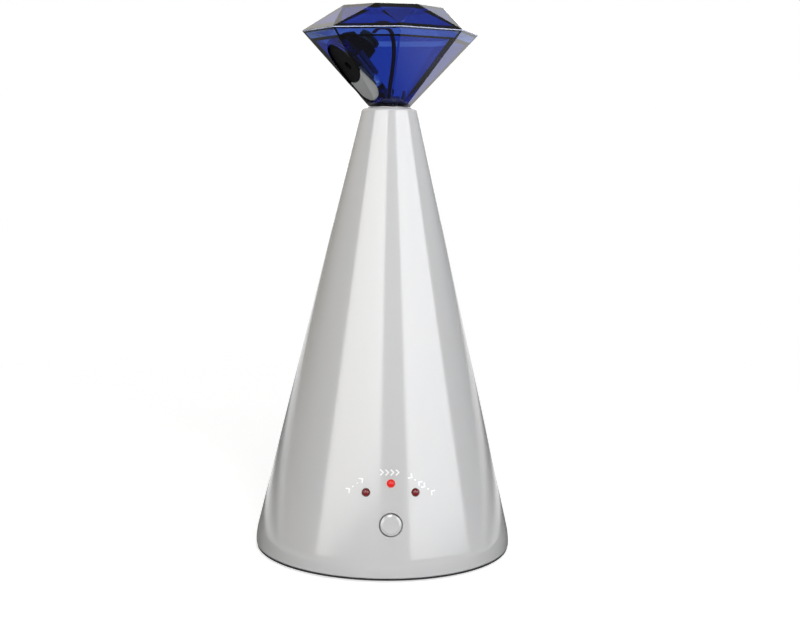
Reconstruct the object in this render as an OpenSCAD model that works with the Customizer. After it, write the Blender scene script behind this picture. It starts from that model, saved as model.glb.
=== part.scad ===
// Automatic cat laser toy: a light grey cone that stands on four feet. A motor in the
// cone turns a hollow plastic gem on its tip, and a laser in the gem shines down and out.
// Units are millimetres. z = 0 is the underside of the feet, the cone's axis is Z and the
// button and lamps face -Y.

/* [Cone housing] */
// Radius that the straight flank would have at the table
flank_base_r = 52.57; // [49:0.01:58]
// Radius of the straight flank at the top edge
flank_top_r = 10.6; // [10.2:0.1:11.6]
// Height of the housing's top face
housing_top_z = 176.2; // [172:0.1:185]
// Wall of the cone
wall = 2.2; // [1.8:0.1:2.6]
// Height of the gap under the housing's rim
rim_z = 1.6; // [1.4:0.1:2.4]
// Radius of the soft turn from flank to skirt
skirt_round = 28; // [15:1:32]
// Radius of the rounding at the rim
rim_round = 0.8; // [0.3:0.1:1.2]
// Radius of the rounding at the top edge
top_round = 1.8; // [0.8:0.1:2.2]

/* [Base] */
// Thickness of the base plate
plate_t = 2.8; // [2.4:0.1:3.6]
// Height of the feet under the base plate
foot_stand = 1.0; // [0.6:0.1:1.2]
// Diameter of a rubber foot
foot_d = 9; // [6:0.5:10]
// Distance of a foot's middle from the edge of the base plate
foot_inset = 5.4; // [5.2:0.1:6]
// Turn of a foot from the side
foot_turn = 42; // [36:1:45]
// Distance of a base screw from the edge of the base plate
base_screw_inset = 6.7; // [6.2:0.1:7.5]
// Turn of a base screw from the side
base_screw_turn = 19.5; // [10:0.5:22]

/* [Batteries] */
// Diameter of one cell
cell_d = 14.5; // [14:0.1:14.6]
// Length of one cell with its button
cell_len = 50.5; // [49:0.1:51]
// Gap between two cells
cell_gap = 0.6; // [0.4:0.1:0.8]
// Room for springs and plates beyond the cells, both ends together
contact_room = 6.5; // [5.5:0.1:8]
// Wall of the battery box
box_wall = 1.6; // [1.2:0.1:2]
// Thickness of the battery door
door_t = 1.6; // [1.2:0.1:1.8]

/* [Controls] */
// Height of the middle of the control panel on the flank
panel_z = 28; // [27:0.5:32]
// Diameter of the button cap
button_d = 8.3; // [7:0.1:9]
// Gap around the button cap
button_gap = 0.35; // [0.25:0.05:0.5]
// How far the button stands proud
button_proud = 0.9; // [0.8:0.1:1.4]
// How far the button goes in
button_travel = 0.6; // [0.4:0.1:0.7]
// Place of the button along the flank from the panel's middle
button_v = -6.9; // [-8:0.1:-6]
// Diameter of the indicator lamps
led_d = 3; // [2.6:0.1:3.4]
// How far a lamp's dome stands proud
led_proud = 0.9; // [0.6:0.1:1.2]
// Place of the middle lamp along the flank
led_mid_v = 8.5; // [7.5:0.1:9.5]
// Place of the side lamps along the flank
led_side_v = 5.2; // [4.2:0.1:6]
// Sideways place of the side lamps
led_side_x = 9.3; // [8:0.1:9.6]
// Width of the control board
board_w = 34; // [32:0.5:36]
// Height of the control board
board_h = 32; // [30:0.5:32]
// Thickness of the circuit boards
board_t = 1.6; // [1:0.1:2]
// Depth of the control board behind the flank
board_depth = 8.5; // [8:0.1:9.5]

/* [Drive] */
// Height of the underside of the drive frame
frame_z = 118; // [110:0.5:121]
// Thickness of the drive frame
frame_t = 3; // [2.4:0.1:4]
// Gap between the drive frame and the cone's wall
frame_gap = 1.7; // [1:0.1:2.5]
// Distance of a frame post's middle from the cone's wall
post_inset = 4.5; // [4:0.1:5.5]
// Module of the gear teeth
gear_module = 0.5; // [0.48:0.01:0.52]
// Teeth on the pinion
pinion_teeth = 16; // [14:1:17]
// Teeth on the output gear
output_teeth = 40; // [38:1:42]
// Width of the gears
gear_w = 4.5; // [3:0.1:5]
// Diameter of the motor shaft
motor_shaft_d = 3; // [2.4:0.1:3.2]
// Length of the motor's gearbox
gearbox_len = 9; // [7:0.5:12]
// Length of the motor's can
can_len = 15; // [12:0.5:18]
// Diameter of the head spindle
spindle_d = 6; // [5.6:0.1:6.4]
// Diameter of the wire bore in the spindle
spindle_bore_d = 3.4; // [3.2:0.1:3.6]
// Gap round a shaft that turns in its bush
run_clear = 0.05; // [0.02:0.01:0.08]

/* [Gem] */
// Girdle radius, to the corners
girdle_r = 34.44; // [32:0.1:38]
// Height of the girdle
girdle_z = 204.8; // [203:0.1:210]
// Table radius, to the corners
table_r = 20.66; // [18:0.1:22.5]
// Height of the crown from the girdle to the table
crown_h = 9.7; // [8:0.1:12]
// Neck radius, to the corners
neck_r = 8; // [7.8:0.1:8.6]
// Wall of the gem
gem_wall = 2.4; // [1.8:0.1:2.8]
// Turn of the laser window from straight ahead
window_turn = -64.6; // [-180:0.1:180]
// Width of the laser window
window_w = 15; // [13:0.1:15]
// Length of the laser window down the facet
window_len = 28; // [25:0.1:28.4]
// Middle of the window down the facet from the girdle
window_down = 21.5; // [21:0.1:22]
// Sideways place of the window on its facet
window_across = 1.5; // [0:0.1:1.5]
// Where the beam meets the facet, down from the girdle
beam_down = 18.5; // [18:0.1:19]
// Angle of the beam below level
beam_drop = 50.5; // [46:0.5:54]
// Diameter of the laser module
laser_d = 6; // [5.4:0.1:6.4]
// Length of the laser module
laser_len = 10.5; // [9:0.1:12]

/* [Hidden] */
$fn = 64;

// A small overlap that makes a cut break cleanly through a face
eps = 0.01;
// Gap between fixed pieces that fit into each other
fit = 0.15;
// Gap that keeps pieces of two moving bodies apart
clear = 0.3;

// Cone flank: its lean from upright and its radius at a height
flank_lean = atan((flank_base_r - flank_top_r) / housing_top_z);
function flank_r(z) = flank_base_r - z * tan(flank_lean);
function inner_r(z) = flank_r(z) - wall / cos(flank_lean);

// Skirt: an arc that leaves the flank smoothly and ends upright above the rim
skirt_z = rim_z + rim_round;
skirt_arc_z = skirt_z + skirt_round * sin(flank_lean);
skirt_c = flank_r(skirt_arc_z) - skirt_round * cos(flank_lean);
skirt_r = skirt_c + skirt_round;
arc_steps = 8;

// Heights and radii of the base
plate_top_z = foot_stand + plate_t;
plate_lip_r = skirt_r - 0.3;
plate_r = skirt_r - wall - 0.4;
foot_recess = rim_z - foot_stand;
post_foot_z = plate_top_z;
base_post_r = 3.5;
base_screw_r = plate_r - base_screw_inset;
// A post ends just inside the flank's outer face
function post_top(middle_r, r) = (flank_base_r - middle_r - r - 0.45) / tan(flank_lean);
base_post_top = post_top(base_screw_r, base_post_r);
base_pilot_h = 11;
foot_ring_r = plate_r - foot_inset;

// Screws: self-tapping, with a pan head. Pilot is the hole that the thread bites into
screw_r = 1.3;
screw_pilot_r = screw_r + 0.05;
screw_hole_r = 1.6;
screw_head_r = 2.6;
screw_head_h = 1.5;
small_screw_r = 0.9;
small_pilot_r = small_screw_r + 0.05;
small_head_r = 1.6;
small_head_h = 1.1;

base_screw_z = foot_stand + screw_head_h + 0.1;

// Battery box
cell_count = 3;
cell_pitch = cell_d + cell_gap;
bay_x = cell_count * cell_pitch + 1.2;
bay_y = cell_len + contact_room;
cell_low = 0.25;
door_z = foot_stand;
door_top_z = door_z + door_t;
door_screw_z = door_z + 0.9;
cell_z = plate_top_z + cell_d / 2 + 0.85;
bay_roof_z = cell_z + cell_d / 2 + cell_low;
box_top_z = bay_roof_z + box_wall;
door_x = bay_x + 2 * box_wall - 0.4;
door_y = bay_y + 2 * box_wall - 0.4;
ear_r = 3.6;
ear_boss_r = 3.2;
ear_y = bay_y / 2 + box_wall + ear_boss_r - 0.4;
ear_boss_h = 8;
spring_end_y = -bay_y / 2;

// Controls: the board stands behind the flank on four posts
board_back = board_depth + board_t;
board_post_x = board_w / 2 - 3;
board_post_v = board_h / 2 - 3;
board_post_r = 2.2;
button_r = button_d / 2;
button_hole_r = button_r + button_gap;
button_boss_r = 7;
button_seat = 2.7;
flange_r = button_r + 1.15;
flange_t = 1;
flange_front = button_seat + 0.2;
switch_w = 6;
switch_h = 3.5;
plunger_r = 1.7;
plunger_front = flange_front + flange_t + 0.4;
led_r = led_d / 2;
led_hole_r = led_r + 0.1;
led_len = 4.8;
led_flange_r = led_r + 0.4;
led_flange_t = 0.9;
// Places of the parts on the back of the board: across, and up from the panel's middle
chip_at = [-6, 1];
capacitor_at = [8, 1];
resistor_v = -6;
resistor_pitch = 4;
// Small flat parts on the boards
flat_part = [2, 1.25, 0.6];
// Sockets for the leads on the back of the board
socket = [5, 4, 5];
socket_pitch = 8;
socket_v = 10;
wire_gap = 1.6;
wire_r = 0.6;
// A point behind the panel: across, up the flank and out of it
function panel_point(x, v, out) =
    [x, v * sin(flank_lean) - out * cos(flank_lean) - flank_r(panel_z),
     panel_z + v * cos(flank_lean) + out * sin(flank_lean)];
function socket_point(k, off) =
    panel_point(k * socket_pitch, socket_v, -board_back - socket.z - off);

// Depth of the flank behind the panel's plane at a distance from the middle
function flank_dip(x) =
    (flank_r(panel_z) - sqrt(pow(flank_r(panel_z), 2) - x * x)) * cos(flank_lean);

board_post_root = flank_dip(board_post_x + board_post_r) + 0.8;

// Drive train
frame_top_z = frame_z + frame_t;
frame_post_angles = [50, 180, 310];
frame_post_r = 3;
frame_r = inner_r(frame_z) - frame_gap;
post_r = inner_r(frame_top_z) - post_inset;
frame_post_top = post_top(post_r, frame_post_r);
frame_pilot_h = 9;
gear_distance = gear_module * (pinion_teeth + output_teeth) / 2;
gear_z = frame_top_z + 2;
gear_hub_r = 5;
spindle_r = spindle_d / 2;
bush_bore_r = spindle_r + run_clear;
bush_r = spindle_r + 1.5;
bush_flange_r = spindle_r + 2.5;
bush_flange_t = 0.45;
gear_hub_z = frame_top_z + bush_flange_t + run_clear;
motor_w = 10;
motor_d = 12;
shaft_r = motor_shaft_d / 2;
shaft_bore_depth = 5;
motor_pilot_r = 2.6;
motor_screw_y = 4.5;
motor_screw_bite = 3;
motor_cap_h = 2;
lower_bush_z = frame_z - 2;
clip_t = 0.8;
clip_z = lower_bush_z - clip_t - clear;
groove_r = spindle_r - 0.4;
spindle_low_z = clip_z - 3;

// Neck: the spindle's flange turns in a counterbore under the gem
neck_gap = 0.3;
gem_z = housing_top_z + neck_gap;
flange_h = 2.7;
spindle_flange_r = neck_r - 0.5;
counterbore_r = spindle_flange_r + clear;
counterbore_z = gem_z - flange_h - bush_flange_t - run_clear;
neck_boss_r = bush_r + 2;
neck_boss_len = 13;
neck_boss_low = counterbore_z - neck_boss_len;
upper_bush_len = 10;

// Slip rings and brushes that carry current to the laser
barrel_z = gear_z + gear_w + 3;
barrel_h = 8.5;
barrel_r = spindle_r + 1.5;
ring_h = 2;
ring_r = barrel_r + 0.4;
ring_z = [barrel_z + 1, barrel_z + 5];
leaf_gap = 0.2;
leaf_t = 0.3;
leaf_w = 1.2;
leaf_x = ring_r + leaf_gap;
block_y = 11;
block_d = 4;
block_h = ring_z[1] + ring_h + 2.5 - frame_top_z;

// Gem: facet sizes. The head is built with the window at -Y and then turned
gem_sides = 8;
half_side = 180 / gem_sides;
girdle_a = girdle_r * cos(half_side);
neck_a = neck_r * cos(half_side);
pavilion_h = girdle_z - gem_z;
facet_lean = atan((girdle_a - neck_a) / pavilion_h);
shell_r = gem_wall / cos(facet_lean) / cos(half_side);
pavilion_grow = (girdle_r - neck_r) / pavilion_h;
function pavilion_r(z) = neck_r + (z - gem_z) * pavilion_grow;
gem_floor_t = 2.4;
gem_floor_z = gem_z + gem_floor_t;
lip_h = 2;
lip_t = 1.3;
tunnel_t = 1.2;
tunnel_depth = 5;
wire_hole_r = spindle_bore_d / 2;
head_screw_x = 4.2;
// The beam meets the facet here
beam_y = -(girdle_a - beam_down * sin(facet_lean));
beam_z = girdle_z - beam_down * cos(facet_lean);
laser_r = laser_d / 2;
laser_front = 4.5;
holder_front = 1.8;
holder_len = 11.2;
aperture_r = 1.8;
holder_r = laser_r + 1.6;
cheek_top = 8.3;
lens_r = laser_r - 0.8;
lens_t = 1.4;
// The window is filled by a skin just inside the facets. What lies inside the face circle
// belongs to the laser holder, and the rest to the bracket
window_gap = 0.4;
skin_inset = 0.8;
skin_t = 1.5;
skin_depth = 4;
face_r = 13.5;
face_at = [-4.7, 6];
foot_plate_r = 6;
foot_plate_t = 1.5;

// ---- Shapes that repeat ----

// Places its children on the control panel: X across, Y up the flank, Z out of it
module panel(x = 0, v = 0) {
    translate([0, -flank_r(panel_z), panel_z])
        rotate([90 - flank_lean, 0, 0])
            translate([x, v, 0]) children();
}

// A screw that points up, with the underside of its head at z = 0
module screw(r, len, head_r, head_h) {
    slot_w = head_r * 0.3;
    slot_len = head_r * 1.2;
    difference() {
        union() {
            translate([0, 0, -head_h]) cylinder(r = head_r, h = head_h);
            cylinder(r = r, h = len);
        }
        for (turn = [0, 90]) rotate(turn)
            translate([-slot_len / 2, -slot_w / 2, -head_h - eps])
                cube([slot_len, slot_w, head_h * 0.6 + eps]);
    }
}

// A box that is centred in X and Y and stands on z = 0
module block(x, y, z) {
    translate([-x / 2, -y / 2, 0]) cube([x, y, z]);
}

// A ring or bush
module ring(outer_r, inner_r, h) {
    difference() {
        cylinder(r = outer_r, h = h);
        translate([0, 0, -eps]) cylinder(r = inner_r, h = h + 2 * eps);
    }
}

function unit(v) = v / norm(v);
function along(path, i) =
    unit(path[min(i + 1, len(path) - 1)] - path[max(i - 1, 0)]);

// A smooth curve through hand-chosen points, with some steps between each two
function bend(p, q, r, s, t) =
    0.5 * (2 * q + (r - p) * t + (2 * p - 5 * q + 4 * r - s) * t * t
           + (3 * q - p - 3 * r + s) * t * t * t);
function smooth(route, steps) = let(last = len(route) - 1) concat(
    [for (i = [0:last - 1], k = [0:steps - 1])
        bend(route[max(i - 1, 0)], route[i], route[i + 1],
             route[min(i + 2, last)], k / steps)],
    [route[last]]);

// A round tube of small radius along a path. It twists as little as it can
module tube(path, r, sides = 8) {
    n = len(path);
    start = along(path, 0);
    side = unit(cross(start, abs(start.z) > 0.9 ? [1, 0, 0] : [0, 0, 1]));
    normals = [for (i = 0, u = side; i < n;
                    i = i + 1,
                    u = i < n ? unit(u - along(path, i) * (u * along(path, i))) : u) u];
    points = [for (i = [0:n - 1], j = [0:sides - 1])
        let(a = 360 * j / sides, u = normals[i], w = cross(along(path, i), u))
            path[i] + r * (cos(a) * u + sin(a) * w)];
    walls = [for (i = [0:n - 2], j = [0:sides - 1])
        let(a = i * sides + j, b = i * sides + (j + 1) % sides)
            each [[a, a + sides, b], [b, a + sides, b + sides]]];
    ends = [[for (j = [0:sides - 1]) j],
            [for (j = [sides - 1:-1:0]) (n - 1) * sides + j]];
    polyhedron(points, concat(walls, ends));
}

// Outline of a spur gear with involute teeth. A tooth's middle is on +X
tooth_pressure = 20;
tooth_backlash = 0.07;
function inv(a) = tan(a) * 180 / PI - a;
function tooth_half(teeth, r) =
    let(base = gear_module * teeth / 2 * cos(tooth_pressure))
        90 / teeth + inv(tooth_pressure) - inv(acos(min(1, base / r)))
        - tooth_backlash / r * 180 / PI;
module gear_outline(teeth) {
    pitch_r = gear_module * teeth / 2;
    root_r = pitch_r - 1.25 * gear_module;
    tip_r = pitch_r + 0.9 * gear_module;
    radii = [root_r, pitch_r - 0.3 * gear_module, pitch_r, tip_r];
    polygon([for (tooth = [0:teeth - 1]) each concat(
        [for (r = radii) let(a = 360 * tooth / teeth - tooth_half(teeth, r))
            r * [cos(a), sin(a)]],
        [for (k = [3:-1:0]) let(r = radii[k], a = 360 * tooth / teeth + tooth_half(teeth, r))
            r * [cos(a), sin(a)]])]);
}

// ---- Cone housing ----

module housing_profile() {
    top_c = flank_r(housing_top_z - top_round) - top_round / cos(flank_lean);
    web_z = counterbore_z - wall;
    polygon(concat(
        [for (k = [0:4]) let(a = -90 + 90 * k / 4)
            [skirt_r - rim_round + rim_round * cos(a), skirt_z + rim_round * sin(a)]],
        [for (k = [1:arc_steps]) let(a = flank_lean * k / arc_steps)
            [skirt_c + skirt_round * cos(a), skirt_z + skirt_round * sin(a)]],
        [for (k = [0:arc_steps]) let(a = flank_lean + (90 - flank_lean) * k / arc_steps)
            [top_c + top_round * cos(a), housing_top_z - top_round + top_round * sin(a)]],
        [[counterbore_r, housing_top_z], [counterbore_r, counterbore_z],
         [bush_r, counterbore_z], [bush_r, neck_boss_low],
         [neck_boss_r, neck_boss_low], [neck_boss_r, web_z], [inner_r(web_z), web_z]],
        [for (k = [arc_steps:-1:0]) let(a = flank_lean * k / arc_steps)
            [skirt_c + (skirt_round - wall) * cos(a), skirt_z + (skirt_round - wall) * sin(a)]],
        [[skirt_r - wall, rim_z]]));
}

module at_base_screws() {
    for (x = [-1, 1], y = [-1, 1]) translate([x * base_screw_r * cos(base_screw_turn),
                                              y * base_screw_r * sin(base_screw_turn), 0])
        children();
}

module at_frame_posts() {
    for (a = frame_post_angles) rotate(a) translate([post_r, 0, 0]) children();
}

module at_board_posts() {
    for (x = [-1, 1], v = [-1, 1])
        panel(x * board_post_x, v * board_post_v) children();
}

module at_leds() {
    panel(0, led_mid_v) children();
    for (side = [-1, 1]) panel(side * led_side_x, led_side_v) children();
}

module housing() {
    color("#c9cacc") difference() {
        union() {
            rotate_extrude() housing_profile();
            at_base_screws() translate([0, 0, post_foot_z])
                cylinder(r = base_post_r, h = base_post_top - post_foot_z);
            at_frame_posts() translate([0, 0, frame_top_z])
                cylinder(r = frame_post_r, h = frame_post_top - frame_top_z);
            at_board_posts() translate([0, 0, -board_depth])
                cylinder(r = board_post_r, h = board_depth - board_post_root);
            panel(0, button_v) translate([0, 0, -button_seat])
                cylinder(r = button_boss_r, h = button_seat - 1);
        }
        at_base_screws() translate([0, 0, post_foot_z - eps])
            cylinder(r = screw_pilot_r, h = base_pilot_h);
        at_frame_posts() translate([0, 0, frame_top_z - eps])
            cylinder(r = screw_pilot_r, h = frame_pilot_h);
        at_board_posts() translate([0, 0, -board_depth - eps])
            cylinder(r = small_pilot_r, h = board_depth - board_post_root - 0.6);
        panel(0, button_v) translate([0, 0, -2 * wall - button_seat])
            cylinder(r = button_hole_r, h = 4 * wall + 2 * button_seat);
        at_leds() translate([0, 0, -3 * wall])
            cylinder(r = led_hole_r, h = 6 * wall);
    }
}

// ---- Base, feet and batteries ----

module at_door_screws() {
    for (side = [-1, 1]) translate([0, side * ear_y, 0]) children();
}

module at_feet() {
    for (x = [-1, 1], y = [-1, 1]) translate([x * foot_ring_r * cos(foot_turn),
                                              y * foot_ring_r * sin(foot_turn), 0])
        children();
}

module door_outline(grow) {
    square([door_x + 2 * grow, door_y + 2 * grow], center = true);
    at_door_screws() circle(r = ear_r + grow);
}

module base_plate() {
    spigot_h = 2.5;
    spigot_r = plate_r - 0.5;
    lead_hole_r = 2;
    color("#2b2c2e") difference() {
        union() {
            translate([0, 0, foot_stand]) cylinder(r = plate_lip_r, h = rim_z - foot_stand);
            translate([0, 0, foot_stand]) cylinder(r = plate_r, h = plate_t);
            translate([0, 0, foot_stand])
                ring(spigot_r, spigot_r - box_wall, plate_t + spigot_h);
            translate([0, 0, foot_stand])
                block(bay_x + 2 * box_wall, bay_y + 2 * box_wall, box_top_z - foot_stand);
            at_door_screws() translate([0, 0, foot_stand])
                cylinder(r = ear_boss_r, h = plate_t + ear_boss_h);
        }
        block(bay_x, bay_y, bay_roof_z);
        linear_extrude(height = door_top_z + fit) door_outline(fit);
        at_door_screws() cylinder(r = small_pilot_r, h = plate_top_z + ear_boss_h - 1);
        at_base_screws() {
            cylinder(r = screw_hole_r, h = 2 * plate_top_z);
            cylinder(r = screw_head_r + fit, h = base_screw_z);
        }
        at_feet() cylinder(r = foot_d / 2 + 0.05, h = foot_stand + foot_recess);
        translate([lead_hole_x, lead_hole_y, bay_roof_z - 1])
            cylinder(r = lead_hole_r, h = box_wall + 2);
    }
}

module battery_door() {
    lip_in = 0.4;
    lip_t = 0.6;
    grip_w = 16;
    color("#303133") difference() {
        union() {
            translate([0, 0, door_z]) linear_extrude(height = door_t) door_outline(0);
            translate([0, 0, door_top_z])
                block(bay_x - 2 * lip_in, bay_y - 2 * lip_in, lip_t);
        }
        at_door_screws() {
            cylinder(r = small_screw_r + 0.2, h = 2 * plate_top_z);
            cylinder(r = small_head_r + fit, h = door_screw_z);
        }
        for (k = [0:3]) translate([-grip_w / 2, bay_y / 2 - 5 - 2 * k, door_z - eps])
            cube([grip_w, 1, 0.5]);
    }
}

module battery_door_screws() {
    color("#9a9a98") at_door_screws() translate([0, 0, door_screw_z])
        screw(small_screw_r, ear_boss_h, small_head_r, door_screw_z - door_z);
}

module base_screws() {
    color("#9a9a98") at_base_screws() translate([0, 0, base_screw_z])
        screw(screw_r, base_pilot_h - 2, screw_head_r, screw_head_h);
}

module rubber_feet() {
    edge = 0.3;
    foot_r = foot_d / 2;
    color("#1d1d1e") at_feet() rotate_extrude()
        polygon([[0, 0], [foot_r - edge, 0], [foot_r, edge],
                 [foot_r, foot_stand + foot_recess], [0, foot_stand + foot_recess]]);
}

// Cells lie along Y, and each is the other way round from the one beside it
contact_t = 0.3;
cell_nub = 1;
spring_wire_r = 0.35;
function cell_x(i) = (i - (cell_count - 1) / 2) * cell_pitch;
function cell_dir(i) = i % 2 == 0 ? 1 : -1;

module cell(i) {
    can_len = cell_len - cell_nub;
    nub_r = 2.7;
    groove = 0.25;
    translate([cell_x(i), 0, cell_z]) rotate([-90 * cell_dir(i), 0, 0])
        translate([0, 0, bay_y / 2 - contact_t - cell_len]) {
            cylinder(r = cell_d / 2 - groove, h = can_len);
            translate([0, 0, 0.6]) cylinder(r = cell_d / 2, h = can_len - 1.2);
            cylinder(r = nub_r, h = cell_len);
        }
}

module battery_cell_1() { color("#5c6068") cell(0); }
module battery_cell_2() { color("#5c6068") cell(1); }
module battery_cell_3() { color("#5c6068") cell(2); }

module battery_springs() {
    turns = 3;
    steps = 12;
    spring_h = contact_room - 2 * contact_t - 2 * spring_wire_r;
    color("#b9b9b4") for (i = [0:cell_count - 1])
        translate([cell_x(i), 0, cell_z]) rotate([-90 * cell_dir(i), 0, 0])
            translate([0, 0, -bay_y / 2 + contact_t + spring_wire_r])
                tube([for (k = [0:turns * steps]) let(a = 360 * k / steps,
                        r = 4.6 - 2 * k / (turns * steps))
                    [r * cos(a), r * sin(a), spring_h * k / (turns * steps)]],
                    spring_wire_r, 6);
}

module battery_contact_plates() {
    plate_w = cell_pitch - 1.6;
    plate_h = 11;
    color("#c4c2b8") for (i = [0:cell_count - 1], side = [-1, 1])
        translate([cell_x(i), side * (bay_y - contact_t) / 2, cell_z - plate_h / 2])
            block(plate_w, contact_t, plate_h);
}

// ---- Control board, button and lamps ----

module control_board() {
    color("#1f5c3a") difference() {
        panel() translate([0, 0, -board_back]) block(board_w, board_h, board_t);
        at_board_posts() translate([0, 0, -board_back - eps])
            cylinder(r = small_screw_r + 0.2, h = board_t + 2 * eps);
    }
}

module board_screws() {
    color("#9a9a98") at_board_posts() translate([0, 0, -board_back])
        screw(small_screw_r, board_t + board_depth - board_post_root - 1.4,
              small_head_r, small_head_h);
}

module tact_switch() {
    color("#2a2a2c") panel(0, button_v) difference() {
        translate([0, 0, -board_depth]) block(switch_w, switch_w, switch_h);
        translate([0, 0, 0.8 - board_depth]) cylinder(r = plunger_r + 0.1, h = switch_h);
    }
}

module switch_plunger() {
    plunger_len = board_depth - plunger_front - button_travel - 1.1;
    color("#3a3a3c") panel(0, button_v) translate([0, 0, -plunger_front - plunger_len])
        cylinder(r = plunger_r, h = plunger_len);
}

module button_cap() {
    bevel = 0.7;
    stem_r = plunger_r - 0.1;
    flange_back = flange_front + flange_t;
    color("#c9cacc") panel(0, button_v) {
        rotate_extrude() polygon([[0, -flange_back], [flange_r, -flange_back],
            [flange_r, -flange_front], [button_r, -flange_front],
            [button_r, button_proud - bevel], [button_r - bevel, button_proud],
            [0, button_proud]]);
        translate([0, 0, -plunger_front])
            cylinder(r = stem_r, h = plunger_front - flange_back + 0.2);
    }
}

// A round lamp whose dome's tip stands proud of the flank. The flank dips away beside
// the panel's middle, and the lamp sits deeper by as much
module lamp(dip) {
    dome_z = led_proud - led_r;
    foot_z = led_proud - led_len;
    leg_x = 1;
    leg_r = 0.25;
    translate([0, 0, -dip]) {
        translate([0, 0, foot_z]) cylinder(r = led_r, h = dome_z - foot_z);
        translate([0, 0, dome_z]) sphere(r = led_r);
        translate([0, 0, foot_z]) cylinder(r = led_flange_r, h = led_flange_t);
        for (x = [-leg_x, leg_x]) translate([x, 0, dip - board_depth])
            cylinder(r = leg_r, h = foot_z - dip + board_depth + 0.1);
    }
}

module led_left() {
    color("#6a1015") panel(-led_side_x, led_side_v) lamp(flank_dip(led_side_x));
}
module led_middle() { color("#e83828") panel(0, led_mid_v) lamp(0); }
module led_right() {
    color("#6a1015") panel(led_side_x, led_side_v) lamp(flank_dip(led_side_x));
}

// Parts on the back of the board hang from z = 0 downwards
module on_back(at) { panel(at.x, at.y) translate([0, 0, -board_back]) children(); }

module control_chip() {
    chip_w = 6;
    chip_l = 5;
    chip_h = 1.5;
    leg = [0.5, 1.2, 0.9];
    leg_pitch = 1.27;
    color("#242426") on_back(chip_at) {
        translate([0, 0, -chip_h - 0.1]) block(chip_w, chip_l - 1, chip_h);
        for (side = [-1, 1], k = [-1.5:1.5])
            translate([k * leg_pitch, side * (chip_l / 2 - leg.y / 2 + 0.3), -leg.z])
                block(leg.x, leg.y, leg.z);
    }
}

module board_capacitor() {
    can_r = 2.5;
    can_h = 7;
    color("#3a3f55") on_back(capacitor_at) difference() {
        translate([0, 0, -can_h]) cylinder(r = can_r, h = can_h);
        translate([0, 0, -1.6]) ring(can_r + 1, can_r - 0.25, 0.6);
    }
}

module board_resistors() {
    color("#4a4440") for (k = [-1.5:1.5])
        on_back([k * resistor_pitch, resistor_v]) translate([0, 0, -flat_part.z])
            block(flat_part.x, flat_part.y, flat_part.z);
}

module lead_connectors() {
    color("#e8e4d8") for (k = [-1:1]) on_back([k * socket_pitch, socket_v]) difference() {
        translate([0, 0, -socket.z]) block(socket.x, socket.y, socket.z);
        for (x = [-wire_gap / 2, wire_gap / 2]) translate([x, 0, -socket.z - eps])
            cylinder(r = wire_r + 0.1, h = 1);
    }
}

// ---- Motor, gears, spindle and bushes ----

module at_motor() { translate([gear_distance, 0, 0]) children(); }
module at_motor_screws() {
    at_motor() for (side = [-1, 1]) translate([0, side * motor_screw_y, 0]) children();
}

module drive_frame() {
    color("#2c2d30") translate([0, 0, frame_z]) difference() {
        cylinder(r = frame_r, h = frame_t);
        translate([0, 0, -eps]) {
            cylinder(r = bush_r, h = frame_t + 2 * eps);
            at_motor() cylinder(r = motor_pilot_r + 0.1, h = frame_t + 2 * eps);
            at_motor_screws() cylinder(r = small_screw_r + 0.2, h = frame_t + 2 * eps);
            at_frame_posts() cylinder(r = screw_hole_r, h = frame_t + 2 * eps);
            for (x = [-brush_wire_x, brush_wire_x]) translate([x, brush_wire_y, 0])
                cylinder(r = brush_hole_r, h = frame_t + 2 * eps);
            translate([0, brush_wire_y, 0])
                cylinder(r = small_screw_r + 0.2, h = frame_t + 2 * eps);
        }
    }
}

module frame_screws() {
    color("#9a9a98") at_frame_posts() translate([0, 0, frame_z])
        screw(screw_r, frame_t + frame_pilot_h - 1, screw_head_r, screw_head_h);
}

module motor_gearbox() {
    pilot_h = frame_t - 1;
    color("#b59a5a") at_motor() difference() {
        union() {
            translate([0, 0, frame_z - gearbox_len]) block(motor_w, motor_d, gearbox_len);
            translate([0, 0, frame_z - eps]) cylinder(r = motor_pilot_r, h = pilot_h);
        }
        translate([0, 0, frame_z - shaft_bore_depth])
            cylinder(r = shaft_r + run_clear, h = shaft_bore_depth + frame_t);
        for (side = [-1, 1])
            translate([0, side * motor_screw_y, frame_z - motor_screw_bite - 1])
                cylinder(r = small_pilot_r, h = motor_screw_bite + 2);
    }
}

module motor_can() {
    color("#a8a8a6") at_motor() translate([0, 0, frame_z - gearbox_len - can_len])
        intersection() {
            cylinder(r = motor_d / 2, h = can_len);
            block(motor_w, motor_d, can_len);
        }
}

module motor_end_cap() {
    cap_r = motor_w / 2 - 0.2;
    color("#222326") at_motor()
        translate([0, 0, frame_z - gearbox_len - can_len - motor_cap_h])
            cylinder(r = cap_r, h = motor_cap_h);
}

module motor_screws() {
    color("#9a9a98") at_motor_screws() translate([0, 0, frame_top_z]) rotate([180, 0, 0])
        screw(small_screw_r, frame_t + motor_screw_bite, small_head_r, small_head_h * 0.8);
}

module motor_shaft() {
    low = frame_z - shaft_bore_depth + clear;
    color("#b5b5b3") at_motor() translate([0, 0, low])
        cylinder(r = shaft_r, h = gear_z + gear_w + 0.5 - low);
}

module drive_pinion() {
    color("#e9e6dc") at_motor() translate([0, 0, gear_z]) difference() {
        rotate(180 / pinion_teeth + (pinion_teeth % 2) * 180 / pinion_teeth)
            linear_extrude(height = gear_w) gear_outline(pinion_teeth);
        translate([0, 0, -eps]) cylinder(r = shaft_r + 0.01, h = gear_w + 2 * eps);
    }
}

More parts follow.
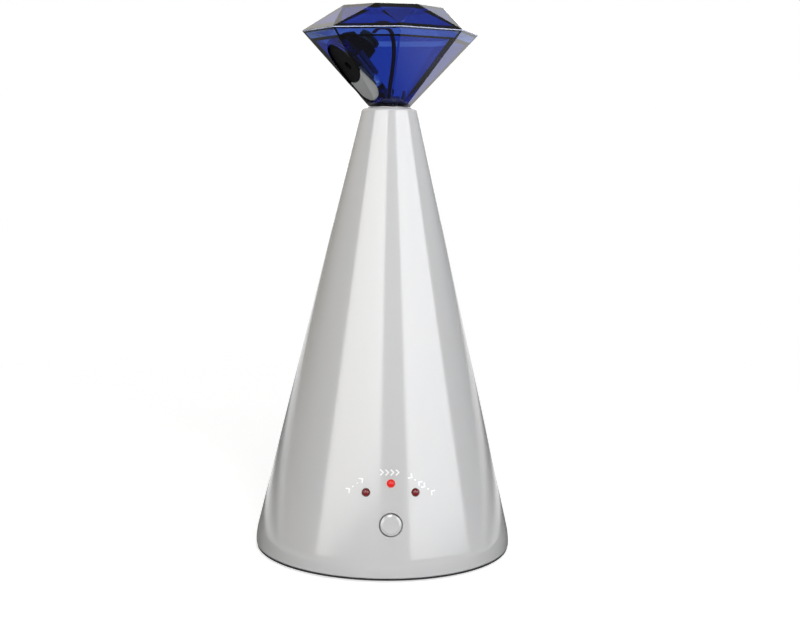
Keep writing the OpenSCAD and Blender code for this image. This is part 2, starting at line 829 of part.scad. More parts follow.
module output_gear() {
    color("#e9e6dc") difference() {
        union() {
            translate([0, 0, gear_z]) linear_extrude(height = gear_w)
                gear_outline(output_teeth);
            translate([0, 0, gear_hub_z]) cylinder(r = gear_hub_r, h = gear_z - gear_hub_z + 0.1);
        }
        translate([0, 0, gear_hub_z - eps])
            cylinder(r = spindle_r + 0.01, h = gear_z + gear_w - gear_hub_z + 2 * eps);
    }
}

// A flanged bush that hangs down from its flange
module bush(seat_z, len) {
    translate([0, 0, seat_z]) difference() {
        union() {
            translate([0, 0, -len]) cylinder(r = bush_r - 0.02, h = len + eps);
            cylinder(r = bush_flange_r, h = bush_flange_t);
        }
        translate([0, 0, -len - eps]) cylinder(r = bush_bore_r, h = len + bush_flange_t + 2 * eps);
    }
}

module upper_bush() { color("#b08d57") bush(counterbore_z, upper_bush_len); }
module lower_bush() { color("#b08d57") bush(frame_top_z, frame_top_z - lower_bush_z); }

// Turns its children with the gem, whose laser window is built at -Y
module head() { rotate(window_turn) children(); }

module at_head_screws() {
    head() for (side = [-1, 1]) translate([side * head_screw_x, 0, 0]) children();
}

module head_spindle() {
    flange_z = gem_z - flange_h;
    lead_port_r = 0.8;
    color("#d8d6cf") difference() {
        union() {
            translate([0, 0, spindle_low_z])
                cylinder(r = spindle_r, h = flange_z - spindle_low_z + eps);
            translate([0, 0, flange_z]) cylinder(r = spindle_flange_r, h = flange_h);
        }
        translate([0, 0, spindle_low_z - eps])
            cylinder(r = wire_hole_r, h = gem_z - spindle_low_z + 2 * eps);
        translate([0, 0, clip_z]) ring(spindle_r + 1, groove_r, clip_t);
        at_head_screws() translate([0, 0, gem_z - flange_h + 0.4])
            cylinder(r = small_pilot_r, h = flange_h);
        translate([0, 0, barrel_z + barrel_h / 2]) rotate([0, 90, 0])
            cylinder(r = lead_port_r, h = 2 * spindle_r);
    }
}

module spindle_clip() {
    clip_r = spindle_r + 2;
    color("#8e8e8c") translate([0, 0, clip_z]) difference() {
        ring(clip_r, groove_r + 0.02, clip_t);
        translate([0, -groove_r * 0.8, -eps]) cube([clip_r + 1, groove_r * 1.6, clip_t + 2 * eps]);
    }
}

// ---- Slip rings and brushes ----

brush_wire_x = 3;
brush_hole_r = wire_r + 0.4;
brush_hole_h = 2;
block_pilot_h = 6;

module slip_ring_barrel() {
    color("#35363a") translate([0, 0, barrel_z]) ring(barrel_r, spindle_r + 0.01, barrel_h);
}

module slip_rings() {
    color("#c79a4a") for (z = ring_z) translate([0, 0, z])
        ring(ring_r, barrel_r + 0.01, ring_h);
}

module brush_block() {
    color("#35363a") translate([0, block_y, frame_top_z]) difference() {
        translate([-leaf_x, 0, 0]) cube([2 * leaf_x, block_d, block_h]);
        translate([0, block_d / 2, -eps]) cylinder(r = small_pilot_r, h = block_pilot_h);
        for (x = [-brush_wire_x, brush_wire_x]) translate([x, block_d / 2, -eps])
            cylinder(r = brush_hole_r, h = brush_hole_h);
    }
}

module brush_block_screw() {
    color("#9a9a98") translate([0, block_y + block_d / 2, frame_z])
        screw(small_screw_r, frame_t + block_pilot_h - 1, small_head_r, small_head_h);
}

module brush_leaves() {
    leaf_len = block_y + block_d + 2;
    color("#c79a4a") for (z = ring_z, side = [0, 1]) mirror([side, 0, 0])
        translate([leaf_x, -2, z + (ring_h - leaf_w) / 2]) cube([leaf_t, leaf_len, leaf_w]);
}

// ---- Gem ----

// A tapered prism with the gem's sides, one facet facing -Y
module facets(r_low, r_top, z_low, z_top) {
    translate([0, 0, z_low]) rotate(half_side)
        cylinder(r1 = r_low, r2 = r_top, h = z_top - z_low, $fn = gem_sides);
}

// Crown: girdle corners below, table corners above and between them, triangles all round
module crown_facets(r_low, r_top, z_low, z_top) {
    n = gem_sides;
    corner = function (i, r, z) [r * cos(i * 360 / n), r * sin(i * 360 / n), z];
    polyhedron(
        concat([for (i = [0:n - 1]) corner(i + 0.5, r_low, z_low)],
               [for (i = [0:n - 1]) corner(i, r_top, z_top)]),
        concat([for (i = [0:n - 1]) let(before = (i + n - 1) % n) [before, n + i, i]],
               [for (i = [0:n - 1]) [n + i, n + (i + 1) % n, i]],
               [[for (i = [0:n - 1]) i], [for (i = [n - 1:-1:0]) n + i]]));
}

// The facet with the window, from where the beam meets it: Z out of it, Y up the slope
module window_facet() {
    translate([window_across, beam_y, beam_z]) rotate([90 + facet_lean, 0, 0]) children();
}

// The laser's own line: Z the way that the beam leaves
module beam() {
    translate([window_across, beam_y, beam_z]) rotate([90 + beam_drop, 0, 0]) children();
}

// A slot with round ends, from a depth behind the facet to just in front of it
module window_slot(grow, depth) {
    r = window_w / 2 + grow;
    half = (window_len - window_w) / 2;
    h = depth + 3;
    translate([0, beam_down - window_down, -depth]) {
        for (side = [-1, 1]) translate([0, side * half, 0]) cylinder(r = r, h = h);
        block(2 * r, 2 * half, h);
    }
}

// The pavilion's outer shape, or the same this far inside its facets
module pavilion_solid(inset = 0) {
    less = inset / cos(facet_lean) / cos(half_side);
    facets(neck_r - less, girdle_r - less, gem_z, girdle_z);
}

module window_skin() {
    difference() {
        intersection() {
            pavilion_solid(skin_inset);
            window_facet() window_slot(-window_gap, skin_depth);
        }
        pavilion_solid(skin_inset + skin_t);
    }
}

module face_circle(r) {
    window_facet() translate([face_at.x, face_at.y, -2 * skin_depth])
        cylinder(r = r, h = 4 * skin_depth);
}

module gem_pavilion() {
    color("#2a4fb0", 0.75) head() difference() {
        union() {
            difference() {
                pavilion_solid();
                facets(pavilion_r(gem_floor_z) - shell_r, girdle_r - shell_r,
                       gem_floor_z, girdle_z + eps);
            }
            intersection() {
                pavilion_solid();
                window_facet() window_slot(tunnel_t, tunnel_depth);
            }
        }
        window_facet() window_slot(0, tunnel_depth + 1);
        translate([0, 0, gem_z - eps]) cylinder(r = wire_hole_r, h = gem_floor_t + 2 * eps);
        for (side = [-1, 1]) translate([side * head_screw_x, 0, gem_z - eps])
            cylinder(r = small_screw_r + 0.2, h = gem_floor_t + 2 * eps);
    }
}

module gem_crown() {
    crown_z = girdle_z + 0.02;
    table_z = girdle_z + crown_h;
    lip_low = girdle_z - lip_h;
    lip_r_top = girdle_r - shell_r - fit;
    lip_r_low = pavilion_r(lip_low) - shell_r - fit;
    color("#3358bd", 0.75) head() difference() {
        union() {
            crown_facets(girdle_r, table_r, crown_z, table_z);
            facets(lip_r_low, lip_r_top, lip_low, crown_z + eps);
        }
        facets(lip_r_low - lip_t, lip_r_top - lip_t, lip_low - eps, crown_z);
        crown_facets(lip_r_top - lip_t, table_r - gem_wall, crown_z - eps, table_z - gem_wall);
    }
}

module head_screws() {
    color("#9a9a98") at_head_screws() translate([0, 0, gem_floor_z + foot_plate_t])
        rotate([180, 0, 0])
            screw(small_screw_r, foot_plate_t + gem_floor_t + flange_h - 0.7,
                  small_head_r, small_head_h);
}

// ---- Laser ----

module laser_bracket() {
    arm_t = 1.6;
    arm_depth = tunnel_depth + 1.2;
    arm_w = 10;
    prong_w = 2 * holder_r + 3.2;
    prong_top = 3;
    arm_low = -17;
    web = [8, 3.2, 5.2];
    rib = [3, 0.9, 3.4];
    rib_turn = 65;
    rib_y = foot_plate_r - 0.4;
    // Joins the tongue in the window to the arm behind it
    link = [6, 5, arm_depth];
    link_low = -14.4;
    color("#d3d4d6") head() difference() {
        union() {
            difference() {
                union() {
                    translate([0, 0, gem_floor_z]) cylinder(r = foot_plate_r, h = foot_plate_t);
                    intersection() {
                        translate([0, -foot_plate_r + web.y / 2, gem_floor_z])
                            block(web.x, web.y, web.z);
                        translate([0, 0, gem_floor_z]) cylinder(r = foot_plate_r, h = web.z);
                    }
                }
                window_facet() window_slot(tunnel_t + clear, tunnel_depth + clear);
            }
            difference() {
                window_skin();
                face_circle(face_r + clear);
            }
            window_facet() translate([-link.x / 2 - window_across, link_low, -link.z - eps])
                cube([link.x, link.y, link.z - skin_inset - skin_t / 2]);
            window_facet() translate([0, 0, -arm_depth - arm_t]) {
                translate([-arm_w / 2 - window_across, arm_low, 0])
                    cube([arm_w, -arm_low - holder_r, arm_t]);
                translate([-prong_w / 2, -holder_r - 3, 0])
                    cube([prong_w, holder_r + 3 + prong_top, arm_t]);
            }
            // A pointed rib that stiffens the foot plate
            rotate(rib_turn - window_turn)
                translate([-rib.x / 2, -rib_y, gem_floor_z + foot_plate_t - eps])
                    rotate([90, 0, 0]) translate([0, 0, -rib.y]) linear_extrude(height = rib.y)
                        polygon([[0, 0], [rib.x, 0], [rib.x * 0.65, rib.z]]);
        }
        beam() translate([0, 0, -holder_front - 2 * holder_len]) {
            cylinder(r = holder_r + 0.05, h = 3 * holder_len);
            translate([-holder_r - 0.05, 0, 0])
                cube([2 * holder_r + 0.1, cheek_top, 3 * holder_len]);
        }
        translate([0, 0, gem_floor_z - eps]) cylinder(r = wire_hole_r, h = 2 * web.z);
        for (side = [-1, 1]) translate([side * head_screw_x, 0, gem_floor_z - eps])
            cylinder(r = small_screw_r + 0.2, h = foot_plate_t + 2 * eps);
        for (side = [-1, 1]) translate([side * head_screw_x, 0, gem_floor_z + foot_plate_t])
            cylinder(r = small_head_r + 0.2, h = 2.5);
    }
}

module laser_holder() {
    cheek_front = 3;
    cheek_len = 8;
    color("#17181a") head() difference() {
        union() {
            intersection() {
                window_skin();
                face_circle(face_r);
            }
            beam() {
                translate([0, 0, -holder_front - holder_len])
                    cylinder(r = holder_r, h = holder_len);
                translate([-holder_r, 0, -cheek_front - cheek_len])
                    cube([2 * holder_r, cheek_top, cheek_len]);
            }
        }
        beam() {
            translate([0, 0, -holder_front - holder_len - eps])
                cylinder(r = laser_r + 0.04, h = holder_front + holder_len - laser_front + 1);
            translate([0, 0, -laser_front]) cylinder(r = aperture_r, h = laser_front + 5);
        }
    }
}

module laser_module() {
    lens_back = 0.5 + lens_t;
    color("#c79a4a") head() beam() translate([0, 0, -laser_front]) difference() {
        translate([0, 0, -laser_len]) cylinder(r = laser_r, h = laser_len);
        translate([0, 0, -lens_back]) cylinder(r = lens_r + 0.02, h = lens_back + 1);
        translate([0, 0, -lens_back - 3]) cylinder(r = lens_r * 0.6, h = 4);
    }
}

module laser_lens() {
    color("#dfe6ea") head() beam() translate([0, 0, -laser_front - 0.5 - lens_t])
        cylinder(r = lens_r, h = lens_t);
}

module laser_driver_board() {
    disc_r = laser_r + 1.2;
    disc_t = 1;
    color("#1f5c3a") head() beam() translate([0, 0, -laser_front - laser_len - disc_t]) {
        cylinder(r = disc_r, h = disc_t);
        for (x = [-2, 2]) translate([x, 0, -flat_part.z])
            block(flat_part.y, flat_part.x, flat_part.z + eps);
    }
}

// ---- Wires. Their points are chosen by hand ----

laser_lead_points = [[1.5, -8.2, 204.9], [1.5, -6, 206.6], [1, -1, 206.5], [0.5, 1.5, 202],
                     [0.2, 1.6, 194], [0, 0.5, 186], [0, 0, 181], [0, 0, 176], [0, 0, 155],
                     [0, 0, 134]];
lead_hole_x = bay_x / 4;
lead_hole_y = spring_end_y + 3;
battery_lead_points = [[lead_hole_x, lead_hole_y, bay_roof_z + 1],
                       [lead_hole_x, lead_hole_y, box_top_z + 3],
                       [lead_hole_x - 1, lead_hole_y + 2, box_top_z + 8],
                       socket_point(1, 4), socket_point(1, 2), socket_point(1, 0.1)];
motor_low_z = frame_z - gearbox_len - can_len - motor_cap_h;
motor_lead_points = [[gear_distance, 0, motor_low_z - 0.1],
                     [gear_distance, 0, motor_low_z - 6], [10, -4, 72], [5, -12, 56],
                     [1, -20, 41], socket_point(0, 5), socket_point(0, 2), socket_point(0, 0.1)];
brush_wire_y = block_y + block_d / 2;
brush_lead_points = [[0, brush_wire_y, frame_top_z + brush_hole_h - 0.4],
                     [0, brush_wire_y, frame_z - 1],
                     [0, brush_wire_y, frame_z - 5], [-6, 12, 98], [-11, 2, 74],
                     [-10, -12, 52], [-9, -20, 40], socket_point(-1, 2),
                     socket_point(-1, 0.1)];

module wire_pair(points, gap, r) {
    for (side = [-1, 1])
        tube(smooth([for (p = points) p + [side * gap / 2, 0, 0]], 3), r);
}

module laser_leads() { color("#8a2320") head() wire_pair(laser_lead_points, 1.5, 0.45); }
module battery_leads() { color("#8a2320") wire_pair(battery_lead_points, wire_gap, wire_r); }
module motor_leads() { color("#33508a") wire_pair(motor_lead_points, wire_gap, wire_r); }

// The brush wires start wide apart in the brush block and run close together below
module brush_leads() {
    spread = function (i) i < 3 ? brush_wire_x : wire_gap / 2;
    color("#33508a") for (side = [-1, 1])
        tube(smooth([for (i = [0:len(brush_lead_points) - 1])
            brush_lead_points[i] + [side * spread(i), 0, 0]], 3), wire_r);
}

housing();
base_plate();
battery_door();
battery_door_screws();
base_screws();
rubber_feet();
battery_cell_1();
battery_cell_2();
battery_cell_3();
battery_springs();
battery_contact_plates();
control_board();
board_screws();
tact_switch();
switch_plunger();
button_cap();
led_left();
led_middle();
led_right();
control_chip();
board_capacitor();
board_resistors();
lead_connectors();
drive_frame();
frame_screws();
motor_gearbox();
motor_can();
motor_end_cap();
motor_screws();
motor_shaft();
drive_pinion();
output_gear();
upper_bush();
lower_bush();
head_spindle();
spindle_clip();
slip_ring_barrel();
slip_rings();
brush_block();
brush_block_screw();
brush_leaves();
gem_pavilion();
gem_crown();
head_screws();
laser_bracket();
laser_holder();
laser_module();
laser_lens();
laser_driver_board();
laser_leads();
battery_leads();
motor_leads();
brush_leads();
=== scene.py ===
"""Looks for an automatic cat laser toy: a glossy grey cone with a blue gem on its tip."""

import math

import bmesh
import bpy
from bpy.props import FloatProperty, IntProperty, PointerProperty, StringProperty
from mathutils import Matrix, Vector


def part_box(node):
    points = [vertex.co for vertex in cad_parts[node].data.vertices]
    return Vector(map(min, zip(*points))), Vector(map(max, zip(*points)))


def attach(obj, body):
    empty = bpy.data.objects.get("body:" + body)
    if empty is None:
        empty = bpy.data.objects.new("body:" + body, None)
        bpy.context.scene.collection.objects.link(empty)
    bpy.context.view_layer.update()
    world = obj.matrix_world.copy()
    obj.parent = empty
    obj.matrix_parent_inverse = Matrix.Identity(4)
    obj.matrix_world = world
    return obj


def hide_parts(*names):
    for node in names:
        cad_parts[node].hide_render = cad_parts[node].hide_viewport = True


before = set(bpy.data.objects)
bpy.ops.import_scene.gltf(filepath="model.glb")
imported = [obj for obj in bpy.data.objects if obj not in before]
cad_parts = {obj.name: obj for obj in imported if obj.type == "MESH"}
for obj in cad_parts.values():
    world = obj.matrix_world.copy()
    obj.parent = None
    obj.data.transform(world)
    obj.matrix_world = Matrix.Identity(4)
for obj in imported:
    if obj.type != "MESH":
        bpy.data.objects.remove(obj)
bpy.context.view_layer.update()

bl_info = {
    "name": "Cat Laser Toy",
    "version": (1, 0, 0),
    "blender": (4, 5, 0),
    "location": "View3D > Sidebar > Toy",
    "description": "Dresses a motorised cat laser toy and sets up its studio",
    "category": "Object",
}

MM = 0.001


def low(name):
    """Lowest corner of a solid, in millimetres."""
    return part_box(name)[0] / MM


def high(name):
    """Highest corner of a solid, in millimetres."""
    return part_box(name)[1] / MM


# ---- Sizes and colours that a user would change ----

def size_mm(text, value):
    """A length in millimetres."""
    return FloatProperty(name=text, description=text + ", in millimetres", default=value)


def angle_deg(text, value):
    """An angle, given in degrees."""
    return FloatProperty(name=text, description=text, default=math.radians(value),
                         subtype="ANGLE", unit="ROTATION")


def colour(text, value):
    """A colour as text."""
    return StringProperty(name=text, description=text + ", as an sRGB hex value", default=value)


class ToyHousing(bpy.types.PropertyGroup):
    """The cone and what is printed on it"""
    base_r: size_mm("Flank radius at the table", 52.57)
    top_r: size_mm("Flank radius at the top face", 10.6)
    top_z: size_mm("Height of the top face", high("housing").z)
    rim_z: size_mm("Height of the rim", low("housing").z)
    skirt_round: size_mm("Radius of the turn from flank to skirt", 28)
    rim_round: size_mm("Radius of the rim's rounding", 0.8)
    top_round: size_mm("Radius of the top edge's rounding", 1.8)
    wall: size_mm("Wall", 2.2)
    neck_hole_r: size_mm("Radius of the hole under the gem", 7.8)
    neck_hole_depth: size_mm("Depth of the hole under the gem", 2.8)
    spindle_hole_r: size_mm("Radius of the hole for the spindle", 4.55)
    shell: colour("Shell", "#c6c7c8")
    ink: colour("Printed marks", "#fbfbfb")


class ToyPanel(bpy.types.PropertyGroup):
    """The button and the lamps"""
    panel_z: size_mm("Height of the panel's middle on the flank", 28)
    button_v: size_mm("Button above the panel's middle", -6.9)
    button_r: size_mm("Radius of the button", 3.98)
    button_gap: size_mm("Gap round the button", 0.52)
    button_proud: size_mm("Button stands proud", 0.9)
    lamp_mid_v: size_mm("Middle lamp above the panel's middle", 8.5)
    lamp_side_v: size_mm("Side lamps above the panel's middle", 5.2)
    lamp_side_x: size_mm("Side lamps from the middle", 9.3)
    lamp_r: size_mm("Radius of a lamp", 1.5)
    lamp_gap: size_mm("Gap round a lamp", 0.1)
    lamp_proud: size_mm("Lamp stands proud", 0.9)
    lit: colour("Glow of the lit lamp", "#f02413")
    glow: FloatProperty(name="Glow", description="Strength of the lit lamp's glow",
                        default=0.64)
    dark: colour("Epoxy of the lamps", "#7a090f")


class ToyGem(bpy.types.PropertyGroup):
    """The gem and the laser window in it"""
    sides: IntProperty(name="Sides", description="Facets round the gem", default=8)
    turn: angle_deg("Turn of the laser window from straight ahead", -64.6)
    girdle_r: size_mm("Girdle radius, to the corners", 34.44)
    girdle_z: size_mm("Height of the girdle", high("gem_pavilion").z)
    girdle_land: size_mm("Height of the upright edge round the girdle", 0.26)
    joint: size_mm("Gap between the two halves", 0.02)
    table_r: size_mm("Table radius, to the corners", 20.66)
    table_z: size_mm("Height of the table", high("gem_crown").z)
    neck_r: size_mm("Neck radius, to the corners", 8)
    neck_z: size_mm("Height of the neck", low("gem_pavilion").z)
    wall: size_mm("Wall", 3.3)
    table_inset: size_mm("Table radius, smaller inside by", 1.155)
    floor: size_mm("Floor", 2.4)
    rim_wall: size_mm("Wall of the lower half beside the joint", 1.3)
    rim_h: size_mm("Height of the thin wall beside the joint", 2.2)
    window_w: size_mm("Width of the laser window", 15)
    window_len: size_mm("Length of the laser window", 28)
    window_down: size_mm("Middle of the window down its facet", 21.5)
    window_across: size_mm("Middle of the window across its facet", 1.5)
    tunnel: size_mm("Wall of the tunnel behind the window", 1.2)
    tunnel_depth: size_mm("Depth of the tunnel behind the window", 5)
    screw_x: size_mm("Head screws from the axis", 4.2)
    screw_hole_r: size_mm("Radius of the holes for the head screws", 1.1)
    wire_hole_r: size_mm("Radius of the hole for the wire", 1.7)
    edge: size_mm("Width of the bevel on the facets' edges", 0.22)
    tint: colour("Acrylic", "#1290e2")
    density: FloatProperty(name="Dye density", description="Dye in the acrylic, per metre",
                           default=640)
    # The joint's pale ring is a painted highlight, for the glint on the joint's edge.
    line: colour("Painted highlight at the joint", "#c9d0ea")
    highlight_spots: colour("Darker spots in the painted highlight", "#a0aada")


class ToyStudio(bpy.types.PropertyGroup):
    """The camera, the paper and the lights"""
    camera_turn: angle_deg("Camera round the toy", -3.7)
    camera_distance: size_mm("Camera from the axis", 533.0)
    camera_height: size_mm("Camera above the table", 161.0)
    camera_yaw: angle_deg("Camera turned right", 0.602)
    camera_pitch: angle_deg("Camera tilted down", 7.265)
    camera_roll: angle_deg("Camera rolled", 1.003)
    focal_px: FloatProperty(name="Focal length", description="Focal length in pixels of a "
                            "picture 800 pixels wide", default=1341.4)
    floor_w: size_mm("Width of the floor paper", 6000)
    backdrop: colour("Floor paper", "#e6e6e6")
    left_tint: colour("Left softbox", "#fffefc")
    right_tint: colour("Right softbox", "#fcfdff")
    key_tint: colour("Front key light", "#fefeff")
    room_left: colour("Left side of the room", "#fff9ee")
    room_right: colour("Right side of the room", "#f9fcff")


HOUSING, PANEL, GEM, STUDIO = "toy_housing", "toy_panel", "toy_gem", "toy_studio"


# ---- Small tools ----

def linear(text):
    """An sRGB hex value as linear red, green, blue and alpha."""
    parts = [int(text[i:i + 2], 16) / 255 for i in (1, 3, 5)]
    return tuple(c / 12.92 if c <= 0.04045 else ((c + 0.055) / 1.055) ** 2.4
                 for c in parts) + (1,)


def paler(text, gain, lift=0.0):
    """An sRGB hex value as a linear colour that is a little lighter."""
    return tuple(min(1, c * gain + lift) for c in linear(text)[:3]) + (1,)


def per_mm(patch):
    """The scale of a pattern whose patches are about this many millimetres."""
    return 1 / (patch * MM)


def add(tree, kind, settings=None, **sockets):
    """Adds a node. A socket is named with _ for a space, or numbered as n0, n1 and so on.
    Its value is a number, a colour, a vector, another node's output, or a node, which gives
    its first output. The setting stops holds a ramp's positions and their grey levels."""
    made = tree.nodes.new(kind)
    settings = dict(settings or {})
    stops = settings.pop("stops", [])
    for name, value in settings.items():
        setattr(made, name, value)
    while stops and len(made.color_ramp.elements) < len(stops):
        made.color_ramp.elements.new(1.0)
    for index, (position, level) in enumerate(stops):
        element = made.color_ramp.elements[index]
        element.position, element.color = position, (level, level, level, 1)
    for name, value in sockets.items():
        numbered = name[0] == "n" and name[1:].isdigit()
        socket = made.inputs[int(name[1:]) if numbered else name.replace("_", " ")]
        if isinstance(value, bpy.types.Node):
            value = value.outputs[0]
        if isinstance(value, bpy.types.NodeSocket):
            tree.links.new(value, socket)
        else:
            socket.default_value = value
    return made


def new_material(name):
    """An empty material, its node tree, and where a point of the surface is, in metres."""
    material = bpy.data.materials.new(name)
    material.use_nodes = True
    tree = material.node_tree
    tree.nodes.clear()
    return material, tree, add(tree, "ShaderNodeTexCoord").outputs["Object"]


def mesh_object(name, vertices, faces, smooth=True):
    """A mesh from points in millimetres."""
    mesh = bpy.data.meshes.new(name)
    mesh.from_pydata([Vector(v) * MM for v in vertices], [], faces)
    mesh.validate()
    bm = bmesh.new()
    bm.from_mesh(mesh)
    bmesh.ops.recalc_face_normals(bm, faces=bm.faces)
    bm.to_mesh(mesh)
    bm.free()
    for polygon in mesh.polygons:
        polygon.use_smooth = smooth
    made = bpy.data.objects.new(name, mesh)
    bpy.context.scene.collection.objects.link(made)
    return made


def lathe(name, profile, segments=96, smooth=True):
    """Turns a closed profile of (radius, height) points round the Z axis. A point on the
    axis is made once."""
    vertices, rings = [], []
    for radius, height in profile:
        count = 1 if radius < 1e-6 else segments
        rings.append([len(vertices) + k for k in range(count)])
        for k in range(count):
            a = 2 * math.pi * k / segments
            vertices.append((radius * math.cos(a), radius * math.sin(a), height))
    faces = []
    for one, two in zip(rings, rings[1:] + rings[:1]):
        for k in range(segments):
            ring = [one[k % len(one)], one[(k + 1) % len(one)],
                    two[(k + 1) % len(two)], two[k % len(two)]]
            corner = list(dict.fromkeys(ring))
            if len(corner) > 2:
                faces.append(corner)
    return mesh_object(name, vertices, faces, smooth)


def rod(name, radius, bottom, top, segments):
    """A round bar along Z, which cuts a hole."""
    return lathe(name, [(0, bottom), (radius, bottom), (radius, top), (0, top)], segments)


def arc(cx, cz, radius, start, end, steps):
    """Points of an arc, with its angles in degrees."""
    angles = [math.radians(start + (end - start) * k / steps) for k in range(steps + 1)]
    return [(cx + radius * math.cos(a), cz + radius * math.sin(a)) for a in angles]


def straight(start, end, steps):
    """Points that divide a straight line evenly, with its two ends."""
    return [(start[0] + (end[0] - start[0]) * k / steps,
             start[1] + (end[1] - start[1]) * k / steps) for k in range(steps + 1)]


def smooth_by_angle(made, degrees):
    """Marks the edges that are sharper than this, so that the rest shades round."""
    made.data.shade_smooth()
    made.data.set_sharp_from_angle(angle=math.radians(degrees))


def cut(made, cutters, operation="DIFFERENCE"):
    """Takes the cutters away from a piece for good, or does the other operation."""
    for cutter in cutters:
        step = made.modifiers.new("cut", "BOOLEAN")
        step.operation, step.solver, step.object = operation, "EXACT", cutter
        bpy.context.view_layer.objects.active = made
        with bpy.context.temp_override(object=made, active_object=made):
            bpy.ops.object.modifier_apply(modifier=step.name)
        bpy.data.objects.remove(cutter)


def bevel(made, width_mm, segments, degrees):
    """Rounds the edges that are sharper than this."""
    edge = made.modifiers.new("edge", "BEVEL")
    edge.width, edge.segments = width_mm * MM, segments
    edge.limit_method, edge.angle_limit = "ANGLE", math.radians(degrees)


def paint(made, material):
    """Gives a piece this one material."""
    made.data.materials.clear()
    made.data.materials.append(material)


def dress(made, body, material, slot, *nodes):
    """Gives a piece its material and its body, and hides the solids that it stands for."""
    paint(made, material)
    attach(made, body)
    if nodes:
        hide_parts(*nodes)


def dress_solids(material, *names):
    """Gives solids of the frame their material."""
    for name in names:
        paint(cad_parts[name], material)


def sizes(name):
    """The settings of one group."""
    return getattr(bpy.context.scene, name)


# ---- Finishes ----

def gloss_abs(name, tint, roughness=0.15, coat=1.0):
    """ABS, injection moulded in a polished mould. It has a hard wet-looking shine, an even
    colour and a very faint ripple that softens the edges of what it mirrors."""
    material, tree, place = new_material(name)
    body = linear(tint)
    warm = tuple(c * k for c, k in zip(body, (1.015, 1.0, 0.985))) + (1,)
    flow = add(tree, "ShaderNodeTexNoise", Vector=place, Scale=per_mm(14), Detail=2)
    tone = add(tree, "ShaderNodeMixRGB", Fac=flow, Color1=body, Color2=warm)
    waves = add(tree, "ShaderNodeTexNoise", Vector=place, Scale=per_mm(5), Detail=2)
    ripple = add(tree, "ShaderNodeBump", Height=waves, Distance=0.012 * MM, Strength=0.35)
    shader = add(tree, "ShaderNodeBsdfPrincipled", Base_Color=tone, Roughness=roughness,
                 IOR=1.54, Coat_Weight=coat, Coat_Roughness=0.09, Normal=ripple)
    add(tree, "ShaderNodeOutputMaterial", Surface=shader)
    return material


def textured_abs(name, tint):
    """ABS from a spark-eroded mould: a fine even grain that scatters its shine. The grain
    is drawn 0.5 mm across, because the real 0.1 mm would not show."""
    material, tree, place = new_material(name)
    pits = add(tree, "ShaderNodeTexNoise", Vector=place, Scale=per_mm(0.5), Detail=4)
    peaks = add(tree, "ShaderNodeMapRange", Value=pits, From_Min=0.35, From_Max=0.7)
    tone = add(tree, "ShaderNodeMixRGB", Fac=peaks, Color1=linear(tint),
               Color2=paler(tint, 1.5, 0.01))
    dull = add(tree, "ShaderNodeMapRange", Value=pits, From_Min=0.3, From_Max=0.7,
               To_Min=0.42, To_Max=0.6)
    relief = add(tree, "ShaderNodeBump", Height=pits, Distance=0.05 * MM, Strength=0.5)
    shader = add(tree, "ShaderNodeBsdfPrincipled", Base_Color=tone, Roughness=dull,
                 IOR=1.5, Normal=relief)
    add(tree, "ShaderNodeOutputMaterial", Surface=shader)
    return material


def clear_acrylic(name, tint, density):
    """Acrylic, moulded clear and dyed through. Light darkens with the depth of plastic
    that it crosses, so that thick corners and grazing walls look nearly black. Its polish
    is a little uneven."""
    material, tree, place = new_material(name)
    polish = 0.015
    patches = add(tree, "ShaderNodeTexNoise", Vector=place, Scale=per_mm(6), Detail=2)
    haze = add(tree, "ShaderNodeMapRange", Value=patches, From_Min=0.3, From_Max=0.7,
               To_Min=polish * 0.7, To_Max=polish * 1.3)
    shader = add(tree, "ShaderNodeBsdfPrincipled", Base_Color=linear("#ffffff"), IOR=1.49,
                 Roughness=haze, Transmission_Weight=1.0)
    dye = add(tree, "ShaderNodeVolumeAbsorption", Color=linear(tint), Density=density)
    add(tree, "ShaderNodeOutputMaterial", Surface=shader, Volume=dye)
    return material


def painted_highlight_acrylic(name, tint, spot_tint):
    """The same acrylic, matt and pale, with darker spots at random: a painted highlight that
    stands for the glint on the joint's edge.
    """
    material, tree, place = new_material(name)
    highlight_spots = add(tree, "ShaderNodeTexNoise", Vector=place, Scale=per_mm(0.2), Detail=3)
    share = add(tree, "ShaderNodeMapRange", Value=highlight_spots, From_Min=0.35, From_Max=0.7,
                To_Max=0.3)
    tone = add(tree, "ShaderNodeMixRGB", Fac=share, Color1=linear(tint),
               Color2=linear(spot_tint))
    shader = add(tree, "ShaderNodeBsdfPrincipled", Base_Color=tone, Roughness=0.5, IOR=1.49)
    add(tree, "ShaderNodeOutputMaterial", Surface=shader)
    return material


def uneven_dye(tree, place, tint):
    """Dye that is a little uneven in small cast plastic, in patches of under 1 mm."""
    patches = add(tree, "ShaderNodeTexNoise", Vector=place, Scale=per_mm(0.7), Detail=2)
    return add(tree, "ShaderNodeMixRGB", Fac=patches, Color1=linear(tint),
               Color2=paler(tint, 1.2))


def lamp_epoxy(name, tint):
    """Epoxy, cast round a lamp's die and dyed red: a small clear dome with a bright spot."""
    material, tree, place = new_material(name)
    shader = add(tree, "ShaderNodeBsdfPrincipled", Base_Color=uneven_dye(tree, place, tint),
                 IOR=1.53, Roughness=0.08, Transmission_Weight=0.15, Coat_Weight=0.5)
    add(tree, "ShaderNodeOutputMaterial", Surface=shader)
    return material


def lit_epoxy(name, tint, glow, strength):
    """The same epoxy with its die lit, so that the whole dome glows evenly."""
    material, tree, place = new_material(name)
    shader = add(tree, "ShaderNodeBsdfPrincipled", Base_Color=uneven_dye(tree, place, tint),
                 IOR=1.53, Roughness=0.2, Emission_Color=linear(glow),
                 Emission_Strength=strength)
    add(tree, "ShaderNodeOutputMaterial", Surface=shader)
    return material


